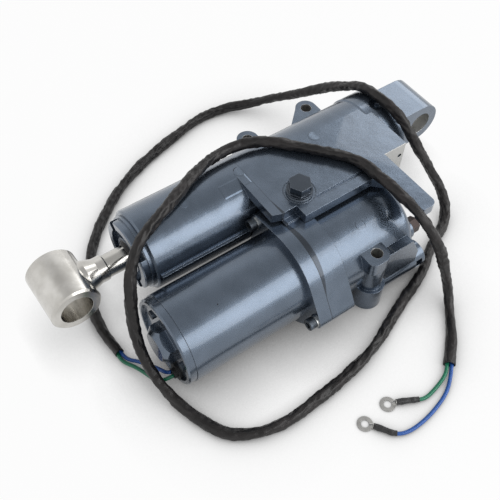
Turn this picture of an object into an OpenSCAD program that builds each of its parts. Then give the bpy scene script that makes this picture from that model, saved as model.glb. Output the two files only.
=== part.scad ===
// Power trim and tilt unit of an outboard motor, as an assembly of its separate pieces.
// X runs along the ram from the lower mounting eye to the rod eye, Y points to the electric motor
// and Z stands square to the flat top plate. The origin is the centre of the lower mounting eye.

/* [Mounting eyes] */
// Distance between the eye centres with the ram drawn in
eye_span = 356; // [350:1:400]
// Outside diameter of the lower eye
lug_d = 40; // [34:1:46]
// Width of the lower eye
lug_w = 42; // [34:1:50]
// Bore of the lower eye
lug_bore_d = 23; // [16:0.5:26]
// Outside diameter of the rod eye
rod_eye_d = 42; // [38:1:50]
// Width of the rod eye
rod_eye_w = 47; // [40:1:56]
// Bore of the rod eye
rod_eye_bore_d = 27; // [18:0.5:30]

/* [Ram] */
// Rod diameter
rod_d = 19; // [16:0.5:21]
// Travel of the ram
stroke = 160; // [120:5:165]
// Piston length
piston_len = 24; // [20:1:28]
// Length of the free piston below the piston
free_piston_len = 16; // [14:1:18]

/* [Cylinder] */
// Outside diameter of the barrel
barrel_d = 70; // [66:1:74]
// Bore of the barrel
bore_d = 50; // [46:1:52]
// Closed end of the barrel, measured from the lower eye
barrel_start = 28; // [26:1:34]
// Length of the barrel
barrel_len = 263; // [255:1:268]
// Thickness of the barrel's closed end
end_wall = 18; // [12:1:20]
// How far the gland reaches into the barrel
gland_in = 29; // [27:1:32]
// How far the gland stands out of the barrel
gland_out = 9; // [8:1:12]
// Diameter of the gland's castellated ring
gland_ring_d = 60; // [56:1:64]

/* [Motor] */
// Offset of the motor axis from the ram axis
motor_y = 75; // [74:0.5:78]
// Drop of the motor axis below the ram axis
motor_drop = 19; // [17:0.5:21]
// Outside diameter of the motor yoke
yoke_d = 76; // [74:0.5:78]
// Wall of the motor yoke
yoke_wall = 4.5; // [3:0.1:5]
// Length of the motor yoke
yoke_len = 104.5; // [104:0.5:115]
// Diameter of the end cap
cap_d = 74.6; // [73:0.1:76]
// Length of the end cap beyond the yoke
cap_len = 7.2; // [6.5:0.1:9]
// Height of the six-sided bump on the end cap
cap_bump = 7.5; // [7:0.1:10]
// Thickness of the motor flange
flange_t = 12; // [11:0.5:14]
// Diameter of the motor flange between its lobes
flange_d = 90; // [89:0.5:93]
// Diameter of the circle that the flange screws lie on
screw_circle_d = 97; // [95:0.5:100]
// Shank diameter of the flange screws
screw_d = 6; // [5:0.5:7]

/* [Pump block and reservoir] */
// Face of the pump block that the motor flange sits on, measured from the lower eye
block_face = 189; // [188:0.5:192]
// Length of the pump block
block_len = 23; // [21:0.5:25]
// Far end of the reservoir, measured from the lower eye
tank_start = 90; // [88:1:94]
// Outside diameter of the reservoir
tank_d = 84; // [82:0.5:88]
// Rounding of the reservoir's far end
tank_round = 8; // [5:0.5:10]
// Diameter of the pump chamber
chamber_d = 68; // [67:0.5:70]
// Depth of the pump chamber
chamber_len = 29; // [28:0.5:31]
// Diameter of the reservoir's inner space
cavity_d = 55; // [54:0.5:56]
// Thickness of the reservoir's end wall
cavity_wall = 10; // [8:0.5:14]

/* [Top plate] */
// Thickness of the top plate
plate_t = 9; // [7:0.5:11]
// End of the plate near the lower eye
plate_start = 56; // [54:0.5:60]
// End of the plate near the gland
plate_end = 197; // [196:0.5:198]
// Side of the plate and of the block below it, near the lower eye
plate_side = 54; // [50:0.5:56]
// Side of the plate over the reservoir
plate_wide = 69; // [66:0.5:72]
// Outer end of the plate's arm across the reservoir
arm_reach = 117; // [112:0.5:119]
// Width of that arm
arm_w = 17; // [14:0.5:20]

/* [Bolt posts] */
// Diameter of each bolt post
post_d = 20; // [18:0.5:22]
// Bore of each bolt post
post_bore_d = 10; // [8:0.5:11]
// Height of the post tops above the ram axis
post_top = 7; // [5:0.5:9]
// Place of the post near the lower eye, along X and Y
post_a = [80.5, -48.9];
// Place of the post in the middle, along X and Y
post_b = [148.5, -46.5];
// Place of the post beside the reservoir, along X and Y
post_c = [135.5, 115];

/* [Gear pump] */
// Number of teeth on each pump gear
gear_teeth = 11; // [11:1:12]
// Module of the pump gears
gear_module = 1.25; // [1.2:0.01:1.3]
// Width of the pump gears
gear_w = 11.8; // [10:0.1:11.9]

/* [Release valve] */
// Place of the release valve's axis, along Y and Z
valve_axis = [110, -42];
// Diameter of the valve boss
valve_boss_d = 24; // [21:0.5:26]
// Diameter of the valve screw's shank
valve_d = 10; // [8:0.5:11]

/* [Harness] */
// Diameter of the harness sleeve
sleeve_d = 8.6; // [7:0.1:8.8]
// Diameter of each lead
lead_d = 3.2; // [2.4:0.1:3.2]
// Outside diameter of the ring terminals
ring_d = 12.5; // [10:0.5:13]
// Hole in the ring terminals
ring_hole_d = 6.4; // [5.3:0.1:7]

/* [Hidden] */
$fn = 72;

// Overrun of every cut, and the clearances of fixed, running and sealed fits
over = 1;
fit = 0.05;
run = 0.05;
seat = 0.1;
seal_gap = 0.1;

// Heights and axes that several pieces share
motor_z = -motor_drop;
foot_z = motor_z - yoke_d / 2;
top_z = barrel_d / 2;
barrel_end = barrel_start + barrel_len;
bore_start = barrel_start + end_wall;
flange_end = block_face + flange_t;
yoke_end = flange_end + yoke_len;
cap_end = yoke_end + cap_len;
ledge_x = block_face - chamber_len;
block_start = block_face - block_len;

// Barrel edges and the counterbore that takes the gland
end_chamfer = 5;
rim_chamfer = 1.5;
collar_len = 34;
collar_h = 1.2;
barrel_gap = 1;
counterbore_len = gland_in - 6;
thread_depth = 2;

// Gland: flange ring, recess round the hub, wrench slots and seal grooves
gland_flange_t = 3;
gland_flange_h = 1.5;
gland_ring_t = 7;
gland_dish = 5.5;
hub_r = 15.5;
hub_drop = 1.5;
slot_w = 9;
slot_share = 0.68;
flange_ring_share = 0.68;
wiper_depth = 6.5;
wiper_h = 3.5;
wiper_lip = 2;
seal_len = 6;
seal_back = 16;
o_groove = 2.8;
o_depth = 2.5;
o_inset = 1.4;

// Rod shoulder, inner end, and the eye's neck
thread_r = 7;
nut_len = 8;
nut_flats_r = 12.7;
free_piston_gap = 4;
piston_gap = 2;
piston_play = 0.15;
ring_depth = 3;
ring_w = 8;
plate_washer_t = 1.5;
plate_washer_r = 20;
shock_inset = 9;
shock_r = bore_d / 2 - shock_inset;
shock_hole_r = 1.5;
shock_ball_r = 2.5;
shock_pocket_r = 2.8;
shock_seat = 12;
shock_count = 4;
cup_r = 14.5;
cup_wall = 7;
neck_len = 16;
neck_mouth = 1.2;
neck_straight = 8;
neck_end_r = 14;
socket_len = 12;
eye_chamfer = 1.5;

// Lobes of the flange and the block, as angles from Y towards Z
lobe_r = 7;
lobe_angles = [137, -7, 220];

// Motor inside
flange_spigot = 6;
yoke_spigot = 4;
bearing_hub_r = 17;
bearing_hub_len = 13;
bearing_r = 13;
bearing_len = 9;
shaft_r = 5;
shaft_gap = 1;
seal_pocket_r = 11;
seal_pocket_len = 8;
magnet_t = 7;
magnet_start = 17;
magnet_tail = 23.5;
magnet_len = yoke_len - magnet_start - magnet_tail;
magnet_angle = 62;
air_gap = 1;
core_start = 21;
core_tail = 27.5;
core_len = yoke_len - core_start - core_tail;
core_slots = 12;
slot_depth = 9;
slot_gap = 3;
wire_gap = 0.3;
winding_len = 7;
winding_r = 23;
winding_hole_r = 8;
tail_winding_len = 9;
commutator_r = 12;
commutator_len = 11;
commutator_groove = 0.8;
commutator_gap = 2;
tongue_t = 4;
tongue_len = 5;
coupling_r = 8.5;
coupling_len = 10;
coupling_back = 7;
coupling_play = 0.1;

// End cap, its screws and the brush gear
cap_spigot = 3.5;
cap_rim_w = 3.8;
cap_rim_h = 2.7;
cap_chamfer = 1.2;
cap_floor = 4;
cap_hollow_r = 29;
bump_r = 17;
bump_bevel = 5;
bush_r = 9;
bush_len = 12;
bush_back = 1.5;
cap_screw_circle = 24;
cap_screw_r = 2;
cap_head_r = 3.6;
cap_head_h = 2.4;
holder_t = 2.5;
holder_back = 4;
holder_boss_r = 4;
brush_w = 7;
brush_len = 10;
brush_gap = 0.1;
brush_box_wall = 1.6;
brush_box_depth = 12;
brush_box_reach = 27.5;
brush_spring_r = 2.2;
grommet_place = [90, -43];
grommet_r = 6;
grommet_head_r = 7.5;
grommet_head = 2.5;
grommet_nose_r = 4.6;
grommet_nose = 5.5;

// Flange screws and washers
washer_t = 1.6;
washer_r = 5.6;
screw_head_r = 5;
screw_head_h = 6;
screw_socket_r = 2.9;
screw_socket_h = 3.2;
screw_reach = 12;
clear_hole = 0.3;

// Pump body, cover and screws
nose_len = 16;
nose_gap = 0.5;
pump_flange_t = 5;
pocket_len = 12;
journal_len = 7;
cover_t = 5;
cover_r = 22;
pump_screw_r = 1.7;
pump_screw_len = 12;
cover_screw_len = 7;
pump_head_r = 2.8;
pump_head_h = 3;
pump_screw_circle = 31;
pump_screw_angles = [0, 120, 240];
cover_screw_circle = 18;
cover_screw_angles = [20, 160, 200, 340];
tooth_play = 0.12;
pressure_angle = 28;
addendum_share = 0.9;
dedendum_share = 1.15;
flank_steps = 4;
inlet_y = 5.5;
inlet_r = 2.5;
strainer_y = 7;
strainer_r = 9;
strainer_wall = 1;
strainer_len = 14;

// Relief valve in the pump body, upright
relief_y = 17;
relief_x = 8;
relief_r = 3.5;
relief_top = 21;
relief_floor = -2;
relief_seat_r = 1.5;
relief_seat_len = 4.5;
relief_feed_r = 1.4;
poppet_len = 5;
poppet_tip = 1.5;
relief_spring_len = 8;
relief_spring_wall = 1;
adjuster_len = 6;
adjuster_slot = 1.2;

// Shuttle spool and check balls, across the pump body
shuttle_x = 10;
shuttle_drop = 15;
shuttle_r = 4;
spool_half = 6;
spool_waist_r = 2.5;
spool_waist_half = 2.5;
spool_pin_r = 1.3;
spool_reach = 7.9;
check_seat_start = 8.4;
check_seat_len = 1.6;
check_seat_r = 2.2;
check_ball_r = 3;
shuttle_plug_start = 16.6;
shuttle_plug_len = 2.2;

// Ports, plugs and oil galleries
port_plug_place = [47, 4];
port_plug_r = 6.5;
port_plug_floor = 4.5;
port_plug_len = (barrel_d - bore_d) / 2 - port_plug_floor;
port_plug_drop = 1;
port_socket_r = 3.4;
port_socket_share = 0.55;
port_socket_depth = port_plug_len * port_socket_share;
port_hole_r = 2;
filler_place = [164, 46];
filler_hole_r = 5.5;
filler_hole_depth = 43;
filler_seal_t = 1.5;
filler_seal_r = 10.6;
filler_flange_t = 1.5;
filler_flange_r = 11;
filler_hex_r = 9.8;
filler_hex_h = 7.5;
filler_shank = 13;
filler_ring_r = 13.5;
filler_ring_w = 0.8;
filler_ring_depth = 0.6;
tank_plug_place = [102, -8];
tank_plug_boss_r = 9;
tank_plug_boss = 2;
tank_plug_r = 4;
tank_plug_shank = 7;
tank_plug_hex_r = 7.2;
tank_plug_hex_h = 9;
cross_x = 4.5;
cross_z = 22;
cross_r = 2;
cross_stop = 25;
port_angle = 41;
gallery_ball_in = 4;
gallery_r = 1.8;
link_r = 2.2;
cross_past = 3;
gallery_y = 44.7;
gallery_up_z = -12.6;
gallery_down_z = -25.4;
wall_gallery = [28.5, -9];
wall_gallery_back = 10;
gland_port_back = 33;

// Web and blocks below the top plate, ledges, ribs and ridges
web_y = 10;
web_side = 62;
web_z = -30;
end_block_len = 24;
end_block_z = -18;
plate_corner = 5;
plate_notch = 14;
plate_step = 3;
plate_slope = 10;
groove_y = 57;
groove_w = 3;
groove_depth = 1.5;
groove_start = 105;
groove_end = 156;
gusset_len = 30;
gusset_side = 15;
ear_web_z = -18;
post_foot = 3;
post_foot_h = 24;
post_pad_shift = 2;
post_pad_h = 14;
post_pad_round = 6;
ridge_start = 205;
ridge_len = 83;
far_ridge_start = 118;
far_ridge_len = 158;
ridge_w = 3;
ridge_h = 2.2;
ridge_z = 2;
side_rib_x = 99;
side_rib_slope = 11;
side_rib_side = 120;
side_rib_top = 1;
side_rib_z = -20;
side_rib_y = 95;

// Release valve and its boss
valve_boss_start = 76;
valve_boss_len = 52;
valve_mouth_r = 8;
valve_mouth_len = 12;
valve_bore_len = 28;
valve_head_r = 7.6;
valve_head_len = 8;
valve_shank_len = 20;
valve_tip_len = 6;
valve_tip_r = 1;
valve_slot_w = 1.8;
valve_slot_depth = 2.2;
valve_port_y = 88;
valve_port_x = 36;
valve_window_len = 10;
valve_window_z = 5;
clip_start = 1;
clip_t = 1.2;
clip_outer = 0.6;
clip_w = 2.2;
clip_gap = 6;

// Free ends of the leads: place, direction and the sizes of their terminals
green_ring = [187, 202.5];
green_dir = -27;
blue_ring = [212.5, 204.8];
blue_dir = -57;
ring_t = 1;
crimp_r = 2.2;
crimp_start = 6;
shrink_start = 8.5;
shrink_len = 13;
shrink_r = 2.6;
tongue_w = 5;
lead_gap = 1.9;
lead_drop = 0.5;
lead_run = 8;
lead_tail = 3;
lead_pair = 1.8;

// Route of the sleeve from the motor end to the free end
sleeve_route = [
    [339, 46, -52.5], [340, 20, -52.5], [336, -6, -52.5], [325, -29, -52.5], [313, -52, -52.5],
    [296, -72, -52.5], [277, -89, -52.5], [256, -105, -52.5], [233, -117, -52.5],
    [209, -127, -52.5], [184, -134, -52.5], [159, -141, -52.5], [133, -145, -52.5],
    [108, -141, -51], [87, -129, -46], [70, -113, -35], [60, -94, -21], [53, -75, -5],
    [47, -56, 11], [45, -36, 25.5], [44.6, -24, 34.4], [44, -11, 40], [43.5, 2, 41],
    [42, 15, 39.8], [39, 29, 33.5], [35, 40, 22.5], [30, 50, 8], [20, 61, -14], [13, 75, -35],
    [15, 86, -46.5], [25, 96, -52.3], [43, 105, -52.5], [62, 115, -52.5], [75, 123.5, -52.5],
    [90, 130, -52.5], [111, 137.5, -52.5], [135, 147, -52.5], [158, 156.5, -52.5],
    [183, 163, -52.5], [209, 167, -52.5], [235, 169, -52.5], [261, 170, -52.5],
    [285, 165, -52.5], [306, 151, -52.5], [318, 128, -52], [325.5, 104, -47.5],
    [329.5, 83, -34.5], [328, 62, -17.5], [321.5, 45, 1], [312, 31, 20], [304, 24.5, 29.5],
    [294, 18.5, 36], [272, 9, 39.8], [248, -2, 40], [225, -14, 37.9], [202, -22, 35.5],
    [178, -22, 36], [158, -11, 39.2], [139, 9, 39.8], [121, 29, 39.8], [107, 50, 39.8],
    [103.5, 75, 39.9], [102.3, 88, 39.6], [101.8, 101, 38.9], [101.3, 110, 37.9],
    [100.3, 116.5, 35.7], [98.7, 121.5, 31.8], [96.8, 126, 27], [94, 132, 19.5], [90, 138, 8],
    [83, 145, -16], [79.5, 150, -33], [80.5, 158, -46], [88, 169, -52.3], [105, 189, -52.5],
    [124, 206, -52.5]
];
// Middle points of the four leads, between their straight ends
green_motor_points = [[336, 62, -51.5], [331.5, 74, -49.8], [327, 88.3, -46]];
blue_motor_points = [[331, 60, -52], [325.5, 70, -49.5], [321, 80, -45.5]];
green_free_points = [[147, 214.5, -55], [162, 216, -55]];
blue_free_points = [[140, 221, -55], [154, 226, -55.2], [174, 229.5, -55.2], [191, 229, -55]];

// Colours
paint = [0.36, 0.42, 0.48];
steel = [0.72, 0.71, 0.69];
dark_steel = [0.35, 0.36, 0.38];
raw_alu = [0.78, 0.78, 0.77];
rubber = [0.08, 0.08, 0.08];
copper = [0.72, 0.42, 0.25];
brass = [0.75, 0.62, 0.30];

// Round bar along X between two places, on the ram axis or at y, z
module x_rod(x0, x1, r, y = 0, z = 0)
    translate([x0, y, z]) rotate([0, 90, 0]) cylinder(h = x1 - x0, r = r);

// Bar along X with any number of flats
module x_prism(x0, x1, r, y, z, sides)
    translate([x0, y, z]) rotate([0, 90, 0]) cylinder(h = x1 - x0, r = r, $fn = sides);

// Tube along X
module x_ring(x0, x1, ro, ri, y = 0, z = 0) difference() {
    x_rod(x0, x1, ro, y, z);
    x_rod(x0 - over, x1 + over, ri, y, z);
}

// Solid turned about an axis along X from [radius, x] points
module x_turn(points, y = 0, z = 0)
    translate([0, y, z]) rotate([0, 90, 0]) rotate_extrude() polygon(points);

// Round ring of wire about an axis along X
module x_torus(x, big_r, small_r, y = 0, z = 0)
    translate([x, y, z]) rotate([0, 90, 0]) rotate_extrude() translate([big_r, 0]) circle(small_r, $fn = 32);

// Round bar along Y or Z
module y_rod(x, y0, y1, z, r)
    translate([x, y0, z]) rotate([-90, 0, 0]) cylinder(h = y1 - y0, r = r);
module z_rod(x, y, z0, z1, r) translate([x, y, z0]) cylinder(h = z1 - z0, r = r);

// Box between two corners
module box(a, b) translate(a) cube(b - a);

// Straight drilled hole from one point to another
module drill(p, q, r) {
    d = q - p;
    turn = atan2(d.y, d.x);
    tilt = acos(d.z / norm(d));
    translate(p) rotate([0, tilt, turn]) cylinder(h = norm(d), r = r);
}

// Place on a circle about the motor axis
function around(r, a) = [motor_y + r * cos(a), motor_z + r * sin(a)];

// Round plate about the motor axis with a lobe for each flange screw, cut flat at the foot
module lobed(x0, x1) {
    big = flange_d / 2;
    reach = screw_circle_d / 2;
    lean = acos((big - lobe_r) / reach);
    intersection() {
        union() {
            x_rod(x0, x1, big, motor_y, motor_z);
            for (a = lobe_angles) {
                c = around(reach, a);
                x_rod(x0, x1, lobe_r, c[0], c[1]);
                translate([x0, motor_y, motor_z]) rotate([90, 0, 90]) linear_extrude(x1 - x0)
                    polygon([
                        [0, 0],
                        big * [cos(a - lean), sin(a - lean)],
                        reach * [cos(a), sin(a)] + lobe_r * [cos(a - lean), sin(a - lean)],
                        reach * [cos(a), sin(a)] + lobe_r * [cos(a + lean), sin(a + lean)],
                        big * [cos(a + lean), sin(a + lean)]
                    ]);
            }
        }
        box([x0 - over, motor_y - flange_d, foot_z], [x1 + over, motor_y + flange_d, flange_d]);
    }
}

// One bolt post with a web to the barrel and a gusset along it
module ear_post(place, gusset) {
    r = post_d / 2;
    z_rod(place[0], place[1], foot_z, post_top, r);
    box([place[0] - r, place[1], ear_web_z], [place[0] + r, -gusset_side, post_top]);
    translate([place[0], place[1], ear_web_z]) linear_extrude(post_top - ear_web_z)
        polygon([
            [0, -place[1] - gusset_side],
            [0, 0],
            r * [sign(gusset) * cos(30), -sin(30)],
            [gusset, gusset_side],
            [gusset, -place[1] - gusset_side]
        ]);
}

// Outside of the barrel with its end collar and the lower eye
module barrel_outside() {
    r = barrel_d / 2;
    x_turn([
        [0, barrel_start],
        [r - end_chamfer, barrel_start],
        [r + collar_h, barrel_start + end_chamfer + collar_h],
        [r + collar_h, barrel_start + collar_len],
        [r, barrel_start + collar_len + collar_h],
        [r, barrel_end - rim_chamfer],
        [r - rim_chamfer, barrel_end],
        [0, barrel_end]
    ]);
    y_rod(0, -lug_w / 2, lug_w / 2, 0, lug_d / 2);
    box([0, -lug_w / 2, -lug_d / 2], [barrel_start + end_chamfer, lug_w / 2, lug_d / 2]);
    box([ridge_start, 0, ridge_z - ridge_w / 2],
        [ridge_start + ridge_len, r + ridge_h, ridge_z + ridge_w / 2]);
    box([far_ridge_start, -r - ridge_h, ridge_z - ridge_w / 2],
        [far_ridge_start + far_ridge_len, 0, ridge_z + ridge_w / 2]);
}

// Flat top plate with its arm across the reservoir
module top_plate() {
    low = top_z - plate_t;
    c = plate_corner;
    arm_x = plate_start + end_block_len;
    notch_x = block_face - plate_notch;
    translate([0, 0, low]) linear_extrude(plate_t) polygon([
        [plate_start, 0], [plate_end, 0], [plate_end, plate_side], [block_face, plate_side + plate_step],
        [notch_x, plate_side + plate_step], [notch_x, plate_wide],
        [arm_x + arm_w + plate_slope, plate_wide], [arm_x + arm_w, plate_wide + plate_slope],
        [arm_x + arm_w, arm_reach - c], [arm_x + arm_w - c, arm_reach], [arm_x + c, arm_reach],
        [arm_x, arm_reach - c], [arm_x, plate_side], [plate_start, plate_side]
    ]);
    for (x = [arm_x + c, arm_x + arm_w - c]) z_rod(x, arm_reach - c, low, top_z, c);
}

// Reservoir with a rounded far end
module tank_outside() {
    r = tank_d / 2;
    round_steps = 6;
    x_turn(concat(
        [[0, tank_start]],
        [for (i = [0 : round_steps]) [
            r - tank_round + tank_round * sin(90 * i / round_steps),
            tank_start + tank_round - tank_round * cos(90 * i / round_steps)
        ]],
        [[r, block_start + over], [0, block_start + over]]
    ), motor_y, motor_z);
    x_rod(tank_start - tank_plug_boss, tank_start + tank_round + over, tank_plug_boss_r,
        tank_plug_place[0], tank_plug_place[1]);
}

// Boss of the release valve, its web to the reservoir, and the rib above it
module valve_boss() {
    start = valve_boss_start;
    end = start + valve_boss_len;
    r = valve_boss_d / 2;
    x_rod(start, end, r, valve_axis[0], valve_axis[1]);
    box([tank_start + tank_round, motor_y, valve_axis[1] - r], [end, valve_axis[0], valve_axis[1] + r]);
    translate([0, side_rib_side, 0]) rotate([90, 0, 0]) linear_extrude(side_rib_side - side_rib_y) polygon([
        [end, side_rib_top], [side_rib_x, side_rib_top], [side_rib_x - side_rib_slope, side_rib_z],
        [side_rib_x - side_rib_slope, valve_axis[1]], [end, valve_axis[1]]
    ]);
}

// Post beside the reservoir, with a square pad on top and a wider foot
module tank_post() {
    r = post_d / 2;
    z_rod(post_c[0], post_c[1], foot_z, post_top, r);
    z_rod(post_c[0], post_c[1], foot_z, foot_z + post_foot_h, r + post_foot);
    near = post_c[0] + post_pad_shift - r;
    far = post_c[0] + post_pad_shift + r;
    side = post_c[1] + r;
    low = post_top - post_pad_h;
    c = post_pad_round;
    box([near, side_rib_y, low], [far, side - c, post_top]);
    box([near + c, side_rib_y, low], [far - c, side, post_top]);
    for (x = [near + c, far - c]) z_rod(x, side - c, low, post_top, c);
    box([post_c[0] - r, side_rib_y, web_z], [post_c[0] + r, post_c[1], post_top]);
}

// Main casting: barrel, lower eye, top plate, reservoir, pump block, posts and valve boss
module cylinder_housing() color(paint) difference() {
    intersection() {
        union() {
            barrel_outside();
            top_plate();
            box([plate_start + end_block_len, web_y, web_z], [block_face, web_side, top_z - plate_t]);
            box([plate_start, web_y, end_block_z], [plate_start + end_block_len, plate_side, top_z]);
            tank_outside();
            lobed(block_start, block_face);
            ear_post(post_a, gusset_len);
            ear_post(post_b, gusset_len);
            tank_post();
            valve_boss();
        }
        box([-lug_d, -barrel_len, foot_z], [barrel_end + over, barrel_len, barrel_d]);
    }
    // Lower eye, cylinder bore and gland counterbore
    y_rod(0, -lug_w, lug_w, 0, lug_bore_d / 2);
    x_rod(bore_start, barrel_end + over, bore_d / 2);
    x_rod(barrel_end - counterbore_len, barrel_end + over, bore_d / 2 + thread_depth);
    // Pump chamber and reservoir space
    x_rod(ledge_x, block_face + over, chamber_d / 2, motor_y, motor_z);
    x_rod(tank_start + cavity_wall, ledge_x + over, cavity_d / 2, motor_y, motor_z);
    for (a = lobe_angles) {
        c = around(screw_circle_d / 2, a);
        x_rod(block_face - screw_reach - over, block_face + over, screw_d / 2 + fit, c[0], c[1]);
    }
    for (a = pump_screw_angles) {
        c = around(pump_screw_circle, a);
        x_rod(ledge_x - pump_screw_len, ledge_x + over, pump_screw_r + fit, c[0], c[1]);
    }
    // Bolt posts
    for (p = [post_a, post_b, post_c]) z_rod(p[0], p[1], foot_z - over, post_top + over, post_bore_d / 2);
    // Filler hole and its ring groove
    z_rod(filler_place[0], filler_place[1], top_z - filler_hole_depth, top_z + over, filler_hole_r);
    difference() {
        z_rod(filler_place[0], filler_place[1], top_z - filler_ring_depth, top_z + over, filler_ring_r);
        z_rod(filler_place[0], filler_place[1], -over, top_z + 2 * over, filler_ring_r - filler_ring_w);
    }
    // Round port plug near the lower eye, with its drilling to the bore
    z_rod(port_plug_place[0], port_plug_place[1], top_z - port_plug_drop - port_plug_len,
        top_z + over + collar_h, port_plug_r);
    drill([bore_start + port_hole_r + over, port_plug_place[1], top_z - plate_t],
        [port_plug_place[0], port_plug_place[1], bore_d / 2 - port_plug_len], port_hole_r);
    // Tank plug
    x_rod(tank_start - tank_plug_boss - over, tank_start - tank_plug_boss + tank_plug_shank + over,
        tank_plug_r + fit, tank_plug_place[0], tank_plug_place[1]);
    // Oil way to the closed end of the bore
    y_rod(plate_start + cross_x, cross_stop, plate_side + over, cross_z, cross_r);
    port_r = bore_d / 2 - over;
    drill([plate_start + cross_x, cross_stop + over, cross_z],
        [bore_start + gallery_r, port_r * cos(port_angle), port_r * sin(port_angle)], gallery_r);
    z_rod(plate_start + cross_x, gallery_y, gallery_up_z - cross_past, cross_z, link_r);
    x_rod(plate_start + cross_x, ledge_x + over, gallery_r, gallery_y, gallery_up_z);
    // Oil way to the rod end of the bore
    x_rod(ledge_x - wall_gallery_back, ledge_x + over, gallery_r, gallery_y, gallery_down_z);
    drill([ledge_x - wall_gallery_back + cross_past, gallery_y + over, gallery_down_z - over],
        [ledge_x - wall_gallery_back + cross_past, wall_gallery[0] - over, wall_gallery[1] + over], link_r);
    x_rod(ledge_x - wall_gallery_back, barrel_end - gland_port_back + cross_past, gallery_r,
        wall_gallery[0], wall_gallery[1]);
    drill([barrel_end - gland_port_back, wall_gallery[0], wall_gallery[1]],
        [barrel_end - gland_port_back, wall_gallery[0] / 2, wall_gallery[1] / 2], link_r);
    // Shallow groove along the plate
    box([groove_start, groove_y, top_z - groove_depth], [groove_end, groove_y + groove_w, top_z + over]);
    // Release valve: mouth, clip groove, screw bore, drilling to the reservoir and side window
    x_rod(valve_boss_start - over, valve_boss_start + valve_mouth_len, valve_mouth_r,
        valve_axis[0], valve_axis[1]);
    x_rod(valve_boss_start + clip_start - fit, valve_boss_start + clip_start + clip_t + fit,
        valve_mouth_r + clip_outer + seat, valve_axis[0], valve_axis[1]);
    x_rod(valve_boss_start, valve_boss_start + valve_mouth_len + valve_bore_len, valve_d / 2,
        valve_axis[0], valve_axis[1]);
    y_rod(valve_boss_start + valve_port_x, valve_port_y, valve_axis[0], valve_axis[1], gallery_r);
    translate([valve_boss_start, valve_axis[0], valve_axis[1]])
        box([clip_start + clip_t + over, valve_window_z, -valve_window_z],
            [valve_window_len, valve_boss_d, valve_window_z]);
}

// Castellated screw that closes the barrel round the rod
module gland_end_screw() color(paint) {
    bore = rod_d / 2 + run;
    body = bore_d / 2 + thread_depth - fit;
    nose = bore_d / 2 - seat;
    x0 = barrel_end - gland_in;
    shoulder = barrel_end - counterbore_len;
    face = barrel_end + gland_out;
    hub = face - hub_drop;
    ring = gland_ring_d / 2;
    difference() {
        x_turn([
            [bore, x0], [nose, x0], [nose, x0 + o_inset], [nose - o_depth, x0 + o_inset],
            [nose - o_depth, x0 + o_inset + o_groove], [nose, x0 + o_inset + o_groove],
            [nose, shoulder], [body, shoulder], [body, barrel_end],
            [ring + gland_flange_h, barrel_end], [ring + gland_flange_h, barrel_end + gland_flange_t],
            [ring, barrel_end + gland_flange_t], [ring, face - over], [ring - over, face],
            [ring - gland_ring_t, face], [ring - gland_ring_t, face - gland_dish],
            [hub_r, face - gland_dish], [hub_r, hub], [bore + wiper_h, hub],
            [bore + wiper_h, hub - wiper_depth], [bore, hub - wiper_depth],
            [bore, hub - seal_back], [bore + wiper_h, hub - seal_back],
            [bore + wiper_h, hub - seal_back - seal_len], [bore, hub - seal_back - seal_len]
        ]);
        for (a = [45 : 90 : 315]) rotate([a, 0, 0])
            box([face - gland_dish, ring * slot_share, -slot_w / 2],
                [face + over, ring + gland_ring_t, slot_w / 2]);
    }
}

module dust_wiper() color(rubber) {
    bore = rod_d / 2 + seal_gap;
    outer = rod_d / 2 + run + wiper_h - fit;
    hub = barrel_end + gland_out - hub_drop;
    x_turn([
        [bore, hub - wiper_depth], [outer, hub - wiper_depth], [outer, hub],
        [outer - wiper_h / 2, hub], [bore + over, hub + wiper_lip], [bore, hub + wiper_lip]
    ]);
}

module rod_seal() color(rubber) {
    end = barrel_end + gland_out - hub_drop - seal_back;
    x_ring(end - seal_len + fit, end - fit, rod_d / 2 + run + wiper_h - fit, rod_d / 2 + seal_gap);
}

module gland_o_ring() color(rubber) {
    big = bore_d / 2 - seat - o_depth / 2 + fit / 2;
    x_torus(barrel_end - gland_in + o_inset + o_groove / 2, big, o_depth / 2 - fit);
}

module end_port_plug() color(dark_steel) difference() {
    top = top_z - port_plug_drop;
    z_rod(port_plug_place[0], port_plug_place[1], top - port_plug_len, top, port_plug_r - fit);
    translate([port_plug_place[0], port_plug_place[1], top - port_socket_depth])
        cylinder(h = port_socket_depth + over, r = port_socket_r, $fn = 6);
}

module gallery_ball() color(steel)
    translate([plate_start + cross_x, plate_side - gallery_ball_in, cross_z]) sphere(cross_r - fit, $fn = 32);

module filler_seal() color(raw_alu) difference() {
    z_rod(filler_place[0], filler_place[1], top_z, top_z + filler_seal_t, filler_seal_r);
    z_rod(filler_place[0], filler_place[1], top_z - over, top_z + filler_seal_t + over, filler_hole_r);
}

module filler_plug() color(paint) {
    base = top_z + filler_seal_t;
    x = filler_place[0];
    y = filler_place[1];
    z_rod(x, y, base - filler_shank, base, filler_hole_r - fit);
    z_rod(x, y, base, base + filler_flange_t, filler_flange_r);
    translate([x, y, base + filler_flange_t]) cylinder(h = filler_hex_h, r = filler_hex_r, $fn = 6);
}

module tank_plug() color(dark_steel) {
    face = tank_start - tank_plug_boss;
    y = tank_plug_place[0];
    z = tank_plug_place[1];
    x_rod(face - over, face + tank_plug_shank, tank_plug_r, y, z);
    x_prism(face - tank_plug_hex_h, face, tank_plug_hex_r, y, z, 6);
}

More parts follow.
